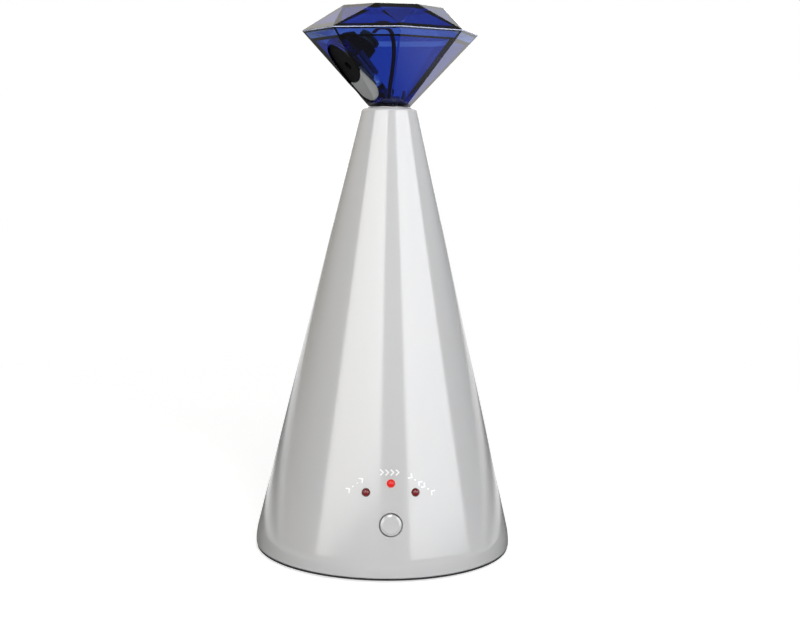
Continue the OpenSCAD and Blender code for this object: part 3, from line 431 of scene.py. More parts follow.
def printing_ink(name, tint, thin):
    """Pad-printing ink: a thin opaque film under the same clear gloss as the plastic."""
    material, tree, place = new_material(name)
    film = add(tree, "ShaderNodeTexNoise", Vector=place, Scale=per_mm(0.3), Detail=3)
    share = add(tree, "ShaderNodeMapRange", Value=film, From_Min=0.4, From_Max=0.8,
                To_Max=0.12)
    tone = add(tree, "ShaderNodeMixRGB", Fac=share, Color1=linear(tint), Color2=linear(thin))
    shader = add(tree, "ShaderNodeBsdfPrincipled", Base_Color=tone, Roughness=0.2, IOR=1.5,
                 Coat_Weight=1.0, Coat_Roughness=0.1)
    add(tree, "ShaderNodeOutputMaterial", Surface=shader)
    return material


def rubber(name, tint, dusty):
    """Moulded rubber: dark, dull and slightly dusty."""
    material, tree, place = new_material(name)
    dust = add(tree, "ShaderNodeTexNoise", Vector=place, Scale=per_mm(1.2), Detail=4)
    share = add(tree, "ShaderNodeMapRange", Value=dust, From_Min=0.45, From_Max=0.8,
                To_Max=0.4)
    tone = add(tree, "ShaderNodeMixRGB", Fac=share, Color1=linear(tint), Color2=linear(dusty))
    relief = add(tree, "ShaderNodeBump", Height=dust, Distance=0.05 * MM, Strength=0.4)
    shader = add(tree, "ShaderNodeBsdfPrincipled", Base_Color=tone, Roughness=0.8, IOR=1.52,
                 Normal=relief)
    add(tree, "ShaderNodeOutputMaterial", Surface=shader)
    return material


def metal(name, tint, roughness, stretch):
    """A plain or plated metal part with its fine tool marks, which run round the part when
    it is turned and along it when it is drawn."""
    material, tree, place = new_material(name)
    lay = add(tree, "ShaderNodeMapping", Vector=place, Scale=stretch)
    marks = add(tree, "ShaderNodeTexNoise", Vector=lay, Scale=per_mm(0.4), Detail=3)
    dull = add(tree, "ShaderNodeMapRange", Value=marks, From_Min=0.3, From_Max=0.7,
               To_Min=roughness * 0.8, To_Max=roughness * 1.25)
    relief = add(tree, "ShaderNodeBump", Height=marks, Distance=0.01 * MM, Strength=0.4)
    shader = add(tree, "ShaderNodeBsdfPrincipled", Base_Color=linear(tint), Metallic=1.0,
                 Roughness=dull, Normal=relief)
    add(tree, "ShaderNodeOutputMaterial", Surface=shader)
    return material


def moulded(name, tint, roughness=0.45, shine=0.5):
    """Nylon, acetal or laminate inside the toy: a plain satin plastic with faint flow marks.
    A low shine is for a surface that is etched to swallow light."""
    material, tree, place = new_material(name)
    flow = add(tree, "ShaderNodeTexNoise", Vector=place, Scale=per_mm(2.5), Detail=3)
    tone = add(tree, "ShaderNodeMixRGB", Fac=flow, Color1=linear(tint),
               Color2=paler(tint, 1.12, 0.004))
    relief = add(tree, "ShaderNodeBump", Height=flow, Distance=0.02 * MM, Strength=0.3)
    shader = add(tree, "ShaderNodeBsdfPrincipled", Base_Color=tone, Roughness=roughness,
                 IOR=1.5, Specular_IOR_Level=shine, Normal=relief)
    add(tree, "ShaderNodeOutputMaterial", Surface=shader)
    return material


# ---- Cone housing ----

def flank_lean(cone):
    """The flank's lean from upright."""
    return math.atan((cone.base_r - cone.top_r) / cone.top_z)


def flank_r(cone, z):
    """The flank's radius at a height."""
    return cone.base_r - z * math.tan(flank_lean(cone))


def skirt(cone):
    """The heights where the skirt's round starts, over the rim, and meets the flank."""
    start = cone.rim_z + cone.rim_round
    return start, start + cone.skirt_round * math.sin(flank_lean(cone))


def housing_profile(cone):
    """The shell's outline: up the rim, skirt and flank, over the top edge, down the two
    holes under the gem, and down the inside."""
    lean = flank_lean(cone)
    skirt_z, skirt_top = skirt(cone)
    skirt_c = flank_r(cone, skirt_top) - cone.skirt_round * math.cos(lean)
    skirt_r = skirt_c + cone.skirt_round
    round_z = cone.top_z - cone.top_round
    round_c = flank_r(cone, round_z) - cone.top_round / math.cos(lean)
    seat_z = cone.top_z - cone.neck_hole_depth
    web_z = seat_z - cone.wall
    wall = cone.wall / math.cos(lean)
    chamfer, flank_steps, inside_steps = 0.15, 24, 3
    rim_arc = arc(skirt_r - cone.rim_round, skirt_z, cone.rim_round, -90, 0, 6)
    skirt_arc = arc(skirt_c, skirt_z, cone.skirt_round, 0, math.degrees(lean), 14)
    top_arc = arc(round_c, round_z, cone.top_round, math.degrees(lean), 90, 10)
    return (rim_arc[:-1] + skirt_arc
            + straight(skirt_arc[-1], top_arc[0], flank_steps)[1:-1] + top_arc
            + [(cone.neck_hole_r + chamfer, cone.top_z), (cone.neck_hole_r, cone.top_z - chamfer),
               (cone.neck_hole_r, seat_z), (cone.spindle_hole_r, seat_z),
               (cone.spindle_hole_r, web_z)]
            + straight((flank_r(cone, web_z) - wall, web_z),
                       (flank_r(cone, skirt_top) - wall, skirt_top), inside_steps)
            + [(skirt_r - cone.wall, skirt_z), (skirt_r - cone.wall, cone.rim_z)])


def on_flank(cone, panel, x, v):
    """A frame on the control panel: X across, Y up the flank and Z out of it."""
    lean = flank_lean(cone)
    middle = Vector((0, -flank_r(cone, panel.panel_z), panel.panel_z))
    up = Vector((0, math.sin(lean), math.cos(lean)))
    forth = Vector((0, -math.cos(lean), math.sin(lean)))
    spot = (middle + Vector((x, 0, 0)) + up * v) * MM
    turn = Matrix((Vector((1, 0, 0)), up, forth)).transposed().to_4x4()
    return Matrix.Translation(spot) @ turn


def flank_dip(cone, panel, x):
    """How far the round flank falls back, this far from the panel's middle."""
    r = flank_r(cone, panel.panel_z)
    return (r - math.sqrt(r * r - x * x)) * math.cos(flank_lean(cone))


def lamp_places(panel):
    """Each lamp's solid, with its place across the panel and up the flank."""
    return [("led_left", -panel.lamp_side_x, panel.lamp_side_v),
            ("led_middle", 0, panel.lamp_mid_v),
            ("led_right", panel.lamp_side_x, panel.lamp_side_v)]


def round_shading(made, cone):
    """Gives the flank and the skirt the shading of the true curve, so that the holes in the
    flank don't dent what it mirrors. The top edge, the rim and the inside stay as they are."""
    lean = flank_lean(cone)
    skirt_z, skirt_top = skirt(cone)
    flank_slack, skirt_slack, top_margin, facing_down = 0.25, 0.5, 0.4, -0.05
    flank_top = cone.top_z - cone.top_round - top_margin
    mesh = made.data
    normals = [Vector(n.vector) for n in mesh.corner_normals]
    for polygon in mesh.polygons:
        middle = polygon.center / MM
        across = math.hypot(middle.x, middle.y)
        in_flank = abs(across - flank_r(cone, middle.z)) <= flank_slack
        in_skirt = (skirt_z <= middle.z <= skirt_top
                    and across >= flank_r(cone, skirt_top) - skirt_slack)
        if not (in_flank or in_skirt):
            continue
        if middle.z > flank_top or polygon.normal.z < facing_down:
            continue
        for loop in polygon.loop_indices:
            spot = mesh.vertices[mesh.loops[loop].vertex_index].co / MM
            rise = min(lean, math.asin(max(0.0, min(1.0, (spot.z - skirt_z) / cone.skirt_round))))
            across = math.hypot(spot.x, spot.y)
            normals[loop] = Vector((spot.x / across * math.cos(rise),
                                    spot.y / across * math.cos(rise), math.sin(rise)))
    mesh.normals_split_custom_set(normals)


class TOY_OT_housing(bpy.types.Operator):
    """Makes the glossy cone with its button hole and lamp holes"""
    bl_idname = "toy.housing"
    bl_label = "Cone housing"

    def execute(self, context):
        cone, panel = sizes(HOUSING), sizes(PANEL)
        shell = lathe("cone_shell", housing_profile(cone), segments=256)
        holes = [(0, panel.button_v, panel.button_r + panel.button_gap)]
        holes += [(x, v, panel.lamp_r + panel.lamp_gap) for _, x, v in lamp_places(panel)]
        reach, cutters = 9, []
        for x, v, radius in holes:
            cutters.append(rod("hole", radius, -reach, reach, 64))
            cutters[-1].matrix_world = on_flank(cone, panel, x, v)
        cut(shell, cutters)
        smooth_by_angle(shell, 35)
        round_shading(shell, cone)
        dress(shell, "base", gloss_abs("gloss_grey_abs", cone.shell), "housing_abs", "housing")
        return {"FINISHED"}


class TOY_OT_button(bpy.types.Operator):
    """Makes the push button with its bevelled rim"""
    bl_idname = "toy.button"
    bl_label = "Button"

    def execute(self, context):
        cone, panel = sizes(HOUSING), sizes(PANEL)
        # Heights are measured outwards from the flank.
        stem_r, stem_end = 1.6, -4.3
        flange_r, flange_back, flange_front = panel.button_r + 1.25, -3.9, -2.9
        face, dish = panel.button_proud, 0.1
        bevel_w, bevel_h, edge = 0.95, 0.42, 0.1
        cap = lathe("push_button", [(0, stem_end), (stem_r, stem_end), (stem_r, flange_back),
                                    (flange_r, flange_back), (flange_r, flange_front),
                                    (panel.button_r, flange_front),
                                    (panel.button_r, face - bevel_h - edge),
                                    (panel.button_r - edge, face - bevel_h),
                                    (panel.button_r - bevel_w, face), (0, face - dish)])
        smooth_by_angle(cap, 12)
        cap.matrix_world = on_flank(cone, panel, 0, panel.button_v)
        dress(cap, "button", gloss_abs("button_grey_abs", cone.shell, 0.2, 0.9), "button_abs",
              "button_cap")
        return {"FINISHED"}


class TOY_OT_lamps(bpy.types.Operator):
    """Makes the three indicator lamps, the middle one lit"""
    bl_idname = "toy.lamps"
    bl_label = "Lamps"

    def execute(self, context):
        cone, panel = sizes(HOUSING), sizes(PANEL)
        dark = lamp_epoxy("unlit_red_epoxy", panel.dark)
        lit = lit_epoxy("lit_red_epoxy", panel.dark, panel.lit, panel.glow)
        flange_r, length, flange_depth = panel.lamp_r + 0.4, 4.8, 3.9
        for name, x, v in lamp_places(panel):
            tip = panel.lamp_proud - flank_dip(cone, panel, x)
            back, shoulder = tip - length, tip - flange_depth
            dome = lathe(name + "_dome", [(0, back), (flange_r, back), (flange_r, shoulder),
                                          (panel.lamp_r, shoulder)]
                         + arc(0, tip - panel.lamp_r, panel.lamp_r, 0, 90, 14), 48)
            smooth_by_angle(dome, 40)
            dome.matrix_world = on_flank(cone, panel, x, v)
            middle = name == "led_middle"
            dress(dome, "base", lit if middle else dark,
                  "led_lit_red" if middle else "led_dark_red", name)
        return {"FINISHED"}


# ---- Printed marks ----

# The signs as flat lines in millimetres, from left to right.
CHEVRON = [(-0.55, -0.95), (0.45, 0.0), (-0.55, 0.95)]
DOT = [(-0.12, 0.0), (0.12, 0.0)]


def stroke(points, width):
    """Short quads along a thick line through flat points. Each end runs on by a third of
    the width."""
    quads, quad_length = [], 0.3
    for (ax, ay), (bx, by) in zip(points, points[1:]):
        length = math.hypot(bx - ax, by - ay)
        along_x, along_y = (bx - ax) / length * width, (by - ay) / length * width
        side_x, side_y = -along_y / 2, along_x / 2
        end_x, end_y = along_x / 3, along_y / 3
        steps = max(2, round(length / quad_length))
        row = straight((ax - end_x, ay - end_y), (bx + end_x, by + end_y), steps)
        quads += [[(x + side_x, y + side_y), (x - side_x, y - side_y),
                   (u - side_x, w - side_y), (u + side_x, w + side_y)]
                  for (x, y), (u, w) in zip(row, row[1:])]
    return quads


def turned(points, degrees, x, y):
    """Flat points, turned and then moved."""
    cosine, sine = math.cos(math.radians(degrees)), math.sin(math.radians(degrees))
    return [(x + px * cosine - py * sine, y + px * sine + py * cosine) for px, py in points]


def on_cone(cone, panel, across, v, out):
    """A point over the flank: an arc length across from the panel's middle, a height up the
    flank from it, and a height out of it."""
    lean = flank_lean(cone)
    z = panel.panel_z + v * math.cos(lean)
    r = flank_r(cone, z)
    a = across / r
    r += out / math.cos(lean)
    return (r * math.sin(a), -r * math.cos(a), z)


class TOY_OT_marks(bpy.types.Operator):
    """Prints the plain white speed marks over the lamps"""
    bl_idname = "toy.marks"
    bl_label = "Printed marks"

    def execute(self, context):
        cone, panel = sizes(HOUSING), sizes(PANEL)
        width, film = 0.5, 0.06
        # Each row: name, middle across and up the panel, slope in degrees, pitch, and signs
        # with their turns in degrees.
        rows = [("slow_marks", -13.5, 7.6, 39, 2.15,
                 [(CHEVRON, 0), (DOT, 0), (DOT, 0), (CHEVRON, 0)]),
                ("fast_marks", -0.4, 12.6, 0, 1.95, [(CHEVRON, 0)] * 4),
                ("mixed_marks", 11.8, 7.8, -36, 2.1,
                 [(CHEVRON, 0), (DOT, 0), (CHEVRON, 180)] * 2)]
        ink = printing_ink("white_printing_ink", cone.ink, "#dadada")
        for name, across, v, slope, pitch, signs in rows:
            vertices, faces = [], []
            for order, (sign, turn) in enumerate(signs):
                shift = (order - (len(signs) - 1) / 2) * pitch
                for quad in stroke(turned(sign, turn, shift, 0), width):
                    faces.append(list(range(len(vertices), len(vertices) + 4)))
                    vertices += [on_cone(cone, panel, x, y, film)
                                 for x, y in turned(quad, slope, across, v)]
            marks = mesh_object(name, vertices, faces, False)
            skin = marks.modifiers.new("film", "SOLIDIFY")
            skin.thickness, skin.offset = film * MM, 0
            dress(marks, "base", ink, "housing_abs")
        return {"FINISHED"}


# ---- Gem and laser ----

def soften(name, width_mm):
    """Rounds the sharp edges of a solid a little."""
    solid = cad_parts[name]
    weld = solid.modifiers.new("weld", "WELD")
    weld.merge_threshold = 0.002 * MM
    bevel(solid, width_mm, 2, 30)


def head_turn(gem, extra=0.0):
    """A turn about the axis, from the laser window's facet."""
    return Matrix.Rotation(gem.turn + extra, 4, "Z")


def faceted(gem, name, profile):
    """Turns a closed profile round the axis with the gem's flat sides."""
    made = lathe(name, profile, gem.sides, smooth=False)
    made.matrix_world = head_turn(gem, math.pi / gem.sides)
    return made


def half_side_cos(gem):
    """A facet's distance from the axis, as a share of its corners' distance."""
    return math.cos(math.pi / gem.sides)


def pavilion_lean(gem):
    """The lean of the lower facets from upright."""
    across = (gem.girdle_r - gem.neck_r) * half_side_cos(gem)
    return math.atan(across / (gem.girdle_z - gem.neck_z))


def pavilion_r(gem, z, depth):
    """Radius to the corners at a height, this deep inside the lower facets."""
    r = gem.neck_r + (z - gem.neck_z) * (gem.girdle_r - gem.neck_r) / (gem.girdle_z - gem.neck_z)
    return r - depth / math.cos(pavilion_lean(gem)) / half_side_cos(gem)


def window_slot(gem, grow, depth):
    """A slot with round ends through the window's facet, from this deep to just outside."""
    r, half, outside = gem.window_w / 2 + grow, (gem.window_len - gem.window_w) / 2, 3
    ends = arc(0, half, r, 0, 180, 24) + arc(0, -half, r, 180, 360, 24)
    count = len(ends)
    points = [(x, y, z) for z in (-depth, outside) for x, y in ends]
    faces = [list(range(count)), list(range(count, 2 * count))]
    faces += [[k, (k + 1) % count, count + (k + 1) % count, count + k] for k in range(count)]
    made = mesh_object("slot", points, faces, False)
    lean = pavilion_lean(gem)
    spot = Vector((gem.window_across,
                   gem.window_down * math.sin(lean) - gem.girdle_r * half_side_cos(gem),
                   gem.girdle_z - gem.window_down * math.cos(lean)))
    made.matrix_world = (head_turn(gem) @ Matrix.Translation(spot * MM)
                         @ Matrix.Rotation(math.pi / 2 + lean, 4, "X"))
    return made


def gem_bottom(gem):
    """The lower half: facets, a hollow that widens beside the joint, a tunnel behind the
    window, and holes in the floor for the wire and two screws."""
    floor_z, rim_z, over = gem.neck_z + gem.floor, gem.girdle_z - gem.rim_h, 0.3
    brim_z = gem.girdle_z + over
    outside = [(0, gem.neck_z), (gem.neck_r, gem.neck_z), (gem.girdle_r, gem.girdle_z),
               (0, gem.girdle_z)]
    hollow = [(0, floor_z), (pavilion_r(gem, floor_z, gem.wall), floor_z),
              (pavilion_r(gem, rim_z + over, gem.wall), rim_z + over), (0, rim_z + over)]
    rim = [(0, rim_z), (pavilion_r(gem, rim_z, gem.rim_wall), rim_z),
           (pavilion_r(gem, brim_z, gem.rim_wall), brim_z), (0, brim_z)]
    made = faceted(gem, "gem_bottom", outside)
    cut(made, [faceted(gem, "hollow", hollow), faceted(gem, "rim", rim)])
    tunnel = window_slot(gem, gem.tunnel, gem.tunnel_depth)
    cut(tunnel, [faceted(gem, "outside", outside)], "INTERSECT")
    cut(made, [tunnel], "UNION")
    below, above = gem.neck_z - 1, floor_z + 1
    holes = [rod("wire_hole", gem.wire_hole_r, below, above, 32)]
    for side in (-1, 1):
        holes.append(rod("screw_hole", gem.screw_hole_r, below, above, 32))
        holes[-1].matrix_world = (head_turn(gem)
                                  @ Matrix.Translation((side * gem.screw_x * MM, 0, 0)))
    cut(made, [window_slot(gem, 0, gem.tunnel_depth + 1)] + holes)
    return made


def gem_highlight_ring(gem):
    """A thin pale ring at the joint between the halves: a painted highlight that stands for the
    glint on the joint's edge.
    """
    half, proud, sunk = gem.girdle_land / 2, 0.05, 0.35
    r, z = gem.girdle_r, gem.girdle_z + gem.joint
    return faceted(gem, "gem_highlight_ring", [(r - sunk, z - half), (r + proud, z - half),
                                     (r + proud, z + half), (r - sunk, z + half)])


def gem_top(gem):
    """The upper half: a low upright edge, triangles up to the table, and a hollow."""
    def shell(name, low_r, low_z, land, top_r, top_z):
        points, n, draft = [], gem.sides, land / 10
        for r, z, shift in ((low_r, low_z, 0.5), (low_r - draft, low_z + land, 0.5),
                            (top_r, top_z, 0)):
            points += [(r * math.cos(a), r * math.sin(a), z)
                       for a in (2 * math.pi * (k + shift) / n for k in range(n))]
        faces = [list(range(n)), list(range(2 * n, 3 * n))]
        for k in range(n):
            after = (k + 1) % n
            faces += [[k, after, n + after, n + k], [n + k, n + after, 2 * n + after],
                      [n + k, 2 * n + after, 2 * n + k]]
        made = mesh_object(name, points, faces, False)
        made.matrix_world = head_turn(gem)
        return made

    low_z, over = gem.girdle_z + gem.joint, 0.1
    facet_w = gem.girdle_r * half_side_cos(gem) - gem.table_r
    slope = math.atan((gem.table_z - gem.girdle_z) / facet_w)
    inner_r = gem.girdle_r - gem.wall / math.sin(slope) / half_side_cos(gem)
    inner_table_r = gem.table_r - gem.table_inset
    made = shell("gem_top", gem.girdle_r, low_z, gem.girdle_land, gem.table_r, gem.table_z)
    cut(made, [shell("hollow", inner_r, low_z - over, over, inner_table_r,
                     gem.table_z - gem.wall)])
    return made


class TOY_OT_gem(bpy.types.Operator):
    """Makes the two halves of the gem, in dyed clear acrylic with polished edges"""
    bl_idname = "toy.gem"
    bl_label = "Gem"

    def execute(self, context):
        gem = sizes(GEM)
        acrylic = clear_acrylic("blue_clear_acrylic", gem.tint, gem.density)
        for made, node in ((gem_bottom(gem), "gem_pavilion"), (gem_top(gem), "gem_crown")):
            bevel(made, gem.edge, 1, 12)
            dress(made, "head", acrylic, "gem_blue", node)
        # A pale ring at the joint: a painted highlight, for the glint on its edge.
        painted_highlight = painted_highlight_acrylic("painted_highlight_on_joint", gem.line, gem.highlight_spots)
        dress(gem_highlight_ring(gem), "head", painted_highlight, "gem_blue")
        return {"FINISHED"}


class TOY_OT_laser(bpy.types.Operator):
    """Gives the laser, its holder and its bracket their finishes"""
    bl_idname = "toy.laser"
    bl_label = "Laser"

    def execute(self, context):
        for name in ("laser_bracket", "laser_holder"):
            soften(name, 0.2)
        dress_solids(gloss_abs("bracket_grey_abs", "#999b9c", 0.35, 0.2), "laser_bracket")
        dress_solids(moulded("holder_black_abs", "#050506", 0.6, 0.05), "laser_holder")
        dress_solids(clear_acrylic("lens_acrylic", "#f4f8fa", 5.0), "laser_lens")
        return {"FINISHED"}


# ---- Base and inside ----

class TOY_OT_base(bpy.types.Operator):
    """Gives the base plate, the battery door and the feet their finishes"""
    bl_idname = "toy.base"
    bl_label = "Base"

    def execute(self, context):
        dress_solids(textured_abs("dark_textured_abs", "#1a1a1b"), "base_plate", "battery_door")
        dress_solids(rubber("foot_rubber", "#1b1b1c", "#616161"), "rubber_feet")
        return {"FINISHED"}


class TOY_OT_inside(bpy.types.Operator):
    """Gives the screws, the drive, the batteries, the boards and the wires their finishes"""
    bl_idname = "toy.inside"
    bl_label = "Inside"

    def execute(self, context):
        steel = metal("zinc_plated_steel", "#b4b4b0", 0.32, (1, 1, 4))
        dress_solids(steel, "base_screws", "battery_door_screws", "board_screws",
                     "frame_screws", "motor_screws", "brush_block_screw", "head_screws",
                     "spindle_clip", "battery_springs", "battery_contact_plates")
        drawn = metal("drawn_motor_steel", "#a9a9a8", 0.25, (6, 6, 0.5))
        dress_solids(drawn, "motor_can", "motor_shaft")
        brass = metal("turned_brass", "#c8a052", 0.28, (1, 1, 6))
        dress_solids(brass, "motor_gearbox", "upper_bush", "lower_bush", "slip_rings",
                     "brush_leaves", "laser_module")
        dress_solids(moulded("black_nylon", "#222325"), "drive_frame", "motor_end_cap",
                     "slip_ring_barrel", "brush_block", "tact_switch", "switch_plunger",
                     "control_chip", "board_resistors")
        dress_solids(moulded("white_acetal", "#e8e5dc", 0.35), "drive_pinion", "output_gear",
                     "head_spindle", "lead_connectors")
        dress_solids(moulded("green_solder_mask", "#1d5c38", 0.3), "control_board",
                     "laser_driver_board")
        dress_solids(moulded("capacitor_sleeve", "#343a52", 0.3), "board_capacitor")
        dress_solids(moulded("cell_jacket", "#5a5f68", 0.3), "battery_cell_1",
                     "battery_cell_2", "battery_cell_3")
        dress_solids(moulded("red_wire_pvc", "#8f2420", 0.4), "battery_leads", "laser_leads")
        dress_solids(moulded("blue_wire_pvc", "#2f4f90", 0.4), "motor_leads", "brush_leads")
        return {"FINISHED"}


# ---- Studio ----

def floor_paper(name, tint, plain_r, lift, bounce, mirrored):
    """Matt white paper. Round the toy it is lit by the lamps, takes the toy's soft shadow
    and throws a little light up. Beyond that the camera and clear plastic see plain white.
    What mirrors the paper sees a level that changes with the distance from the toy, a painted
    shade: dark right round it, and in a ring where the lamps' light ends."""
    material, tree, place = new_material(name)
    seen = add(tree, "ShaderNodeLightPath")
    away = add(tree, "ShaderNodeVectorMath", {"operation": "LENGTH"}, n0=place).outputs["Value"]
    outer = add(tree, "ShaderNodeMapRange", Value=away, From_Min=plain_r * 0.5,
                From_Max=plain_r)
    direct = add(tree, "ShaderNodeMath", {"operation": "SUBTRACT"}, n0=1.0,
                 n1=seen.outputs["Is Diffuse Ray"])
    beyond = add(tree, "ShaderNodeMath", {"operation": "MULTIPLY"}, n0=outer, n1=direct)
    plain = add(tree, "ShaderNodeMath", {"operation": "MAXIMUM"}, n0=beyond,
                n1=seen.outputs["Is Glossy Ray"])
    # Painted shade in what the gloss sees of the paper, set by the distance from the toy.
    painted_shade = add(tree, "ShaderNodeValToRGB", {"stops": mirrored}, Fac=away)
    level = add(tree, "ShaderNodeMix", {"data_type": "FLOAT"},
                n0=seen.outputs["Is Glossy Ray"], n2=1.0, n3=painted_shade)
    paper = add(tree, "ShaderNodeBsdfDiffuse", Color=linear(tint))
    glow = add(tree, "ShaderNodeMapRange", Value=seen.outputs["Is Camera Ray"],
               To_Min=bounce, To_Max=lift)
    bright = add(tree, "ShaderNodeEmission", Strength=glow)
    lifted = add(tree, "ShaderNodeAddShader", n0=paper, n1=bright)
    white = add(tree, "ShaderNodeEmission", Strength=level)
    blend = add(tree, "ShaderNodeMixShader", n0=plain, n1=lifted, n2=white)
    add(tree, "ShaderNodeOutputMaterial", Surface=blend)
    return material


# How bright a softbox's cloth is, from side to side and from its lower end up.
CLOTH_ACROSS = [(0, 0), (0.07, 1), (0.93, 1), (1, 0)]
CLOTH_UP = [(0, 0.45), (0.06, 0.85), (0.3, 1)]


def softbox(name, turns, rises, radiance, tint, roll=0, mirrored=True):
    """A rectangular lamp between two turns from straight ahead and two heights above the
    horizon, in degrees. Its cloth is dimmer at its sides and its lower end. A mirrored one
    is seen in the gloss and gives no other light."""
    distance = 1.2
    turn = math.radians(sum(turns) / 2)
    low_end, high_end = (distance * math.tan(math.radians(rise)) for rise in rises)
    data = bpy.data.lights.new(name, "AREA")
    data.shape, data.color = "RECTANGLE", linear(tint)[:3]
    data.size = 2 * distance * math.tan(math.radians(turns[1] - turns[0]) / 2)
    data.size_y = high_end - low_end
    data.energy = radiance * math.pi * data.size * data.size_y
    lamp = bpy.data.objects.new(name, data)
    spot = Vector((math.sin(turn), -math.cos(turn), 0)) * distance
    spot.z = sizes(HOUSING).top_z / 2 * MM + (low_end + high_end) / 2
    lamp.matrix_world = (Matrix.Translation(spot) @ Matrix.Rotation(turn, 4, "Z")
                         @ Matrix.Rotation(math.radians(90), 4, "X")
                         @ Matrix.Rotation(math.radians(roll), 4, "Z"))
    lamp.visible_camera = lamp.visible_transmission = False
    lamp.visible_glossy, lamp.visible_diffuse = mirrored, not mirrored
    data.use_nodes = True
    tree = data.node_tree
    cloth = add(tree, "ShaderNodeSeparateXYZ",
                n0=add(tree, "ShaderNodeNewGeometry").outputs["Parametric"])
    across = add(tree, "ShaderNodeValToRGB", {"stops": CLOTH_ACROSS}, Fac=cloth.outputs["X"])
    upward = add(tree, "ShaderNodeValToRGB", {"stops": CLOTH_UP}, Fac=cloth.outputs["Y"])
    glow = add(tree, "ShaderNodeMath", {"operation": "MULTIPLY"}, n0=across, n1=upward)
    tree.links.new(glow.outputs[0], tree.nodes["Emission"].inputs["Strength"])
    bpy.context.scene.collection.objects.link(lamp)


def studio_world(fill, front, back_wall, warm, cool):
    """The room: a weak fill all round, warm on the left and cool on the right. What mirrors
    it sees a dim front, and behind the toy a wall whose level changes with height. Clear
    plastic sees white through itself."""
    world = bpy.data.worlds.new("studio_room")
    bpy.context.scene.world = world
    world.use_nodes = True
    tree = world.node_tree
    tree.nodes.clear()
    seen = add(tree, "ShaderNodeLightPath")
    way = add(tree, "ShaderNodeSeparateXYZ",
              n0=add(tree, "ShaderNodeTexCoord").outputs["Generated"])
    back = add(tree, "ShaderNodeMapRange", Value=way.outputs["Y"], From_Min=-0.2,
               From_Max=0.35)
    wall = add(tree, "ShaderNodeValToRGB", {"stops": back_wall}, Fac=way.outputs["Z"])
    behind = add(tree, "ShaderNodeMix", {"data_type": "FLOAT"}, n0=back, n2=front, n3=wall)
    mirrored = add(tree, "ShaderNodeMix", {"data_type": "FLOAT"},
                   n0=seen.outputs["Is Glossy Ray"], n2=fill, n3=behind)
    white = add(tree, "ShaderNodeMath", {"operation": "MAXIMUM"},
                n0=seen.outputs["Is Camera Ray"], n1=seen.outputs["Is Transmission Ray"])
    room = add(tree, "ShaderNodeMix", {"data_type": "FLOAT"}, n0=white, n2=mirrored, n3=1.0)
    right = add(tree, "ShaderNodeMapRange", Value=way.outputs["X"], From_Min=-0.5,
                From_Max=0.5)
    side = add(tree, "ShaderNodeMixRGB", Fac=right, Color1=linear(warm), Color2=linear(cool))
    tone = add(tree, "ShaderNodeMixRGB", Fac=white, Color1=side, Color2=linear("#ffffff"))
    glow = add(tree, "ShaderNodeBackground", Color=tone, Strength=room)
    add(tree, "ShaderNodeOutputWorld", Surface=glow)


# What the gloss sees in the floor, at these distances in metres from the toy, and in the
# wall behind it, at these sines of the height above the horizon.
# The floor's levels are painted shade: dark right round the toy, and in a ring where the lamps'
# light ends.
MIRRORED_FLOOR_PAINTED_SHADE = [(0.11, 0.16), (0.14, 0.85), (0.18, 0.85), (0.28, 0.2), (0.42, 0.2),
                  (0.7, 0.85)]
MIRRORED_WALL = [(0.1, 0.4), (0.4, 1.1), (0.72, 1.1), (0.82, 0.2)]
PICTURE_W = 800


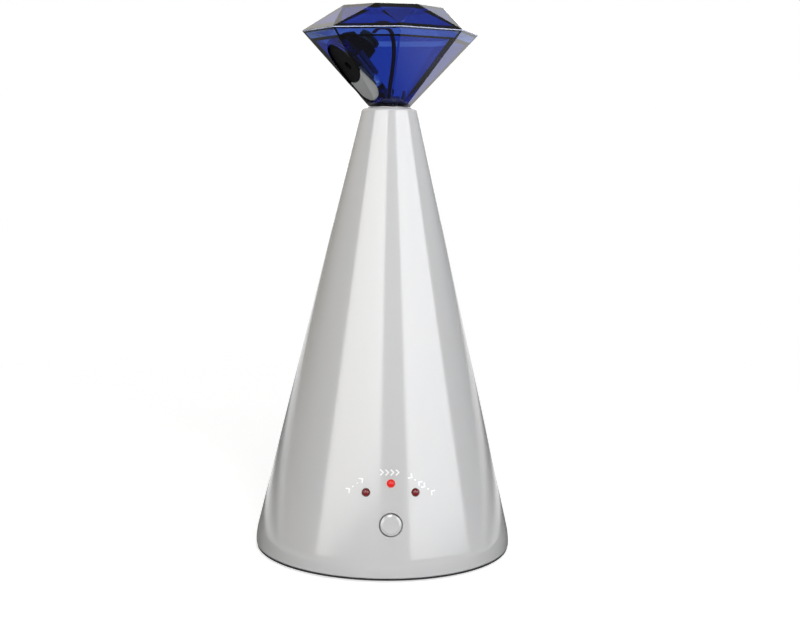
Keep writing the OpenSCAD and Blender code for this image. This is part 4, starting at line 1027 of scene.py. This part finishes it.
class TOY_OT_studio(bpy.types.Operator):
    """Sets up the floor, the softboxes, the room and the camera"""
    bl_idname = "toy.studio"
    bl_label = "Studio"

    def execute(self, context):
        studio = sizes(STUDIO)
        half = studio.floor_w / 2
        corners = [(-half, -half, 0), (half, -half, 0), (half, half, 0), (-half, half, 0)]
        floor = mesh_object("studio_floor", corners, [(0, 1, 2, 3)])
        paint(floor, floor_paper("white_floor_paper", studio.backdrop, plain_r=0.5, lift=0.68,
                                 bounce=0.22, mirrored=MIRRORED_FLOOR_PAINTED_SHADE))
        turn = math.degrees(studio.camera_turn)
        softbox("left_softbox", (turn - 64, turn - 3), (5.4, 42), 3.0, studio.left_tint, roll=9)
        softbox("right_softbox", (turn + 24, turn + 86), (2.0, 42), 3.15, studio.right_tint,
                roll=-5)
        softbox("top_softbox", (turn - 22, turn + 22), (48, 72), 8.0, "#ffffff")
        softbox("back_softbox", (turn + 168, turn + 192), (0, 42), 2.5, "#ffffff")
        softbox("front_key", (turn - 14, turn + 34), (10, 45), 5.62, studio.key_tint,
                mirrored=False)
        studio_world(fill=0.24, front=0.25, back_wall=MIRRORED_WALL, warm=studio.room_left,
                     cool=studio.room_right)
        self.camera(studio)
        context.scene.view_settings.view_transform = "Standard"
        return {"FINISHED"}

    def camera(self, studio):
        """The camera that took the photograph, fitted to its outlines."""
        turn, pitch, roll = studio.camera_turn, studio.camera_pitch, studio.camera_roll
        heading = studio.camera_yaw - turn
        forth = Vector((math.sin(heading) * math.cos(pitch),
                        math.cos(heading) * math.cos(pitch), -math.sin(pitch)))
        right = Vector((math.cos(heading), -math.sin(heading), 0))
        up = right.cross(forth)
        right, up = (right * math.cos(roll) + up * math.sin(roll),
                     up * math.cos(roll) - right * math.sin(roll))
        data = bpy.data.cameras.new("photo_camera")
        data.sensor_fit = "HORIZONTAL"
        data.lens = studio.focal_px * data.sensor_width / PICTURE_W
        data.clip_start, data.clip_end = 0.01, 50
        camera = bpy.data.objects.new("photo_camera", data)
        spot = Vector((math.sin(turn), -math.cos(turn), 0)) * studio.camera_distance * MM
        spot.z = studio.camera_height * MM
        axes = Matrix((right, up, -forth)).transposed().to_4x4()
        camera.matrix_world = Matrix.Translation(spot) @ axes
        bpy.context.scene.collection.objects.link(camera)
        bpy.context.scene.camera = camera


class TOY_PT_panel(bpy.types.Panel):
    """Lists what dresses the toy"""
    bl_idname = "TOY_PT_panel"
    bl_label = "Cat Laser Toy"
    bl_space_type = "VIEW_3D"
    bl_region_type = "UI"
    bl_category = "Toy"

    def draw(self, context):
        for group, steps in STEPS:
            box = self.layout.box()
            for step in steps:
                box.operator(step.bl_idname)
            if group:
                for name in GROUPS[group].__annotations__:
                    box.prop(sizes(group), name)


GROUPS = {HOUSING: ToyHousing, PANEL: ToyPanel, GEM: ToyGem, STUDIO: ToyStudio}
STEPS = [(STUDIO, [TOY_OT_studio]), (HOUSING, [TOY_OT_housing, TOY_OT_marks]),
         (PANEL, [TOY_OT_button, TOY_OT_lamps]), (GEM, [TOY_OT_gem, TOY_OT_laser]),
         (None, [TOY_OT_base, TOY_OT_inside])]
CLASSES = list(GROUPS.values()) + [step for _, steps in STEPS for step in steps]
CLASSES.append(TOY_PT_panel)


def register():
    """Adds the classes, and the groups of settings to the scene."""
    for made in CLASSES:
        bpy.utils.register_class(made)
    for name, group in GROUPS.items():
        setattr(bpy.types.Scene, name, PointerProperty(type=group))


def unregister():
    """Takes away what register adds."""
    for name in GROUPS:
        delattr(bpy.types.Scene, name)
    for made in reversed(CLASSES):
        bpy.utils.unregister_class(made)


def main():
    """Makes and dresses everything."""
    register()
    for _, steps in STEPS:
        for step in steps:
            area, verb = step.bl_idname.split(".")
            getattr(getattr(bpy.ops, area), verb)()


if __name__ == "__main__":
    main()
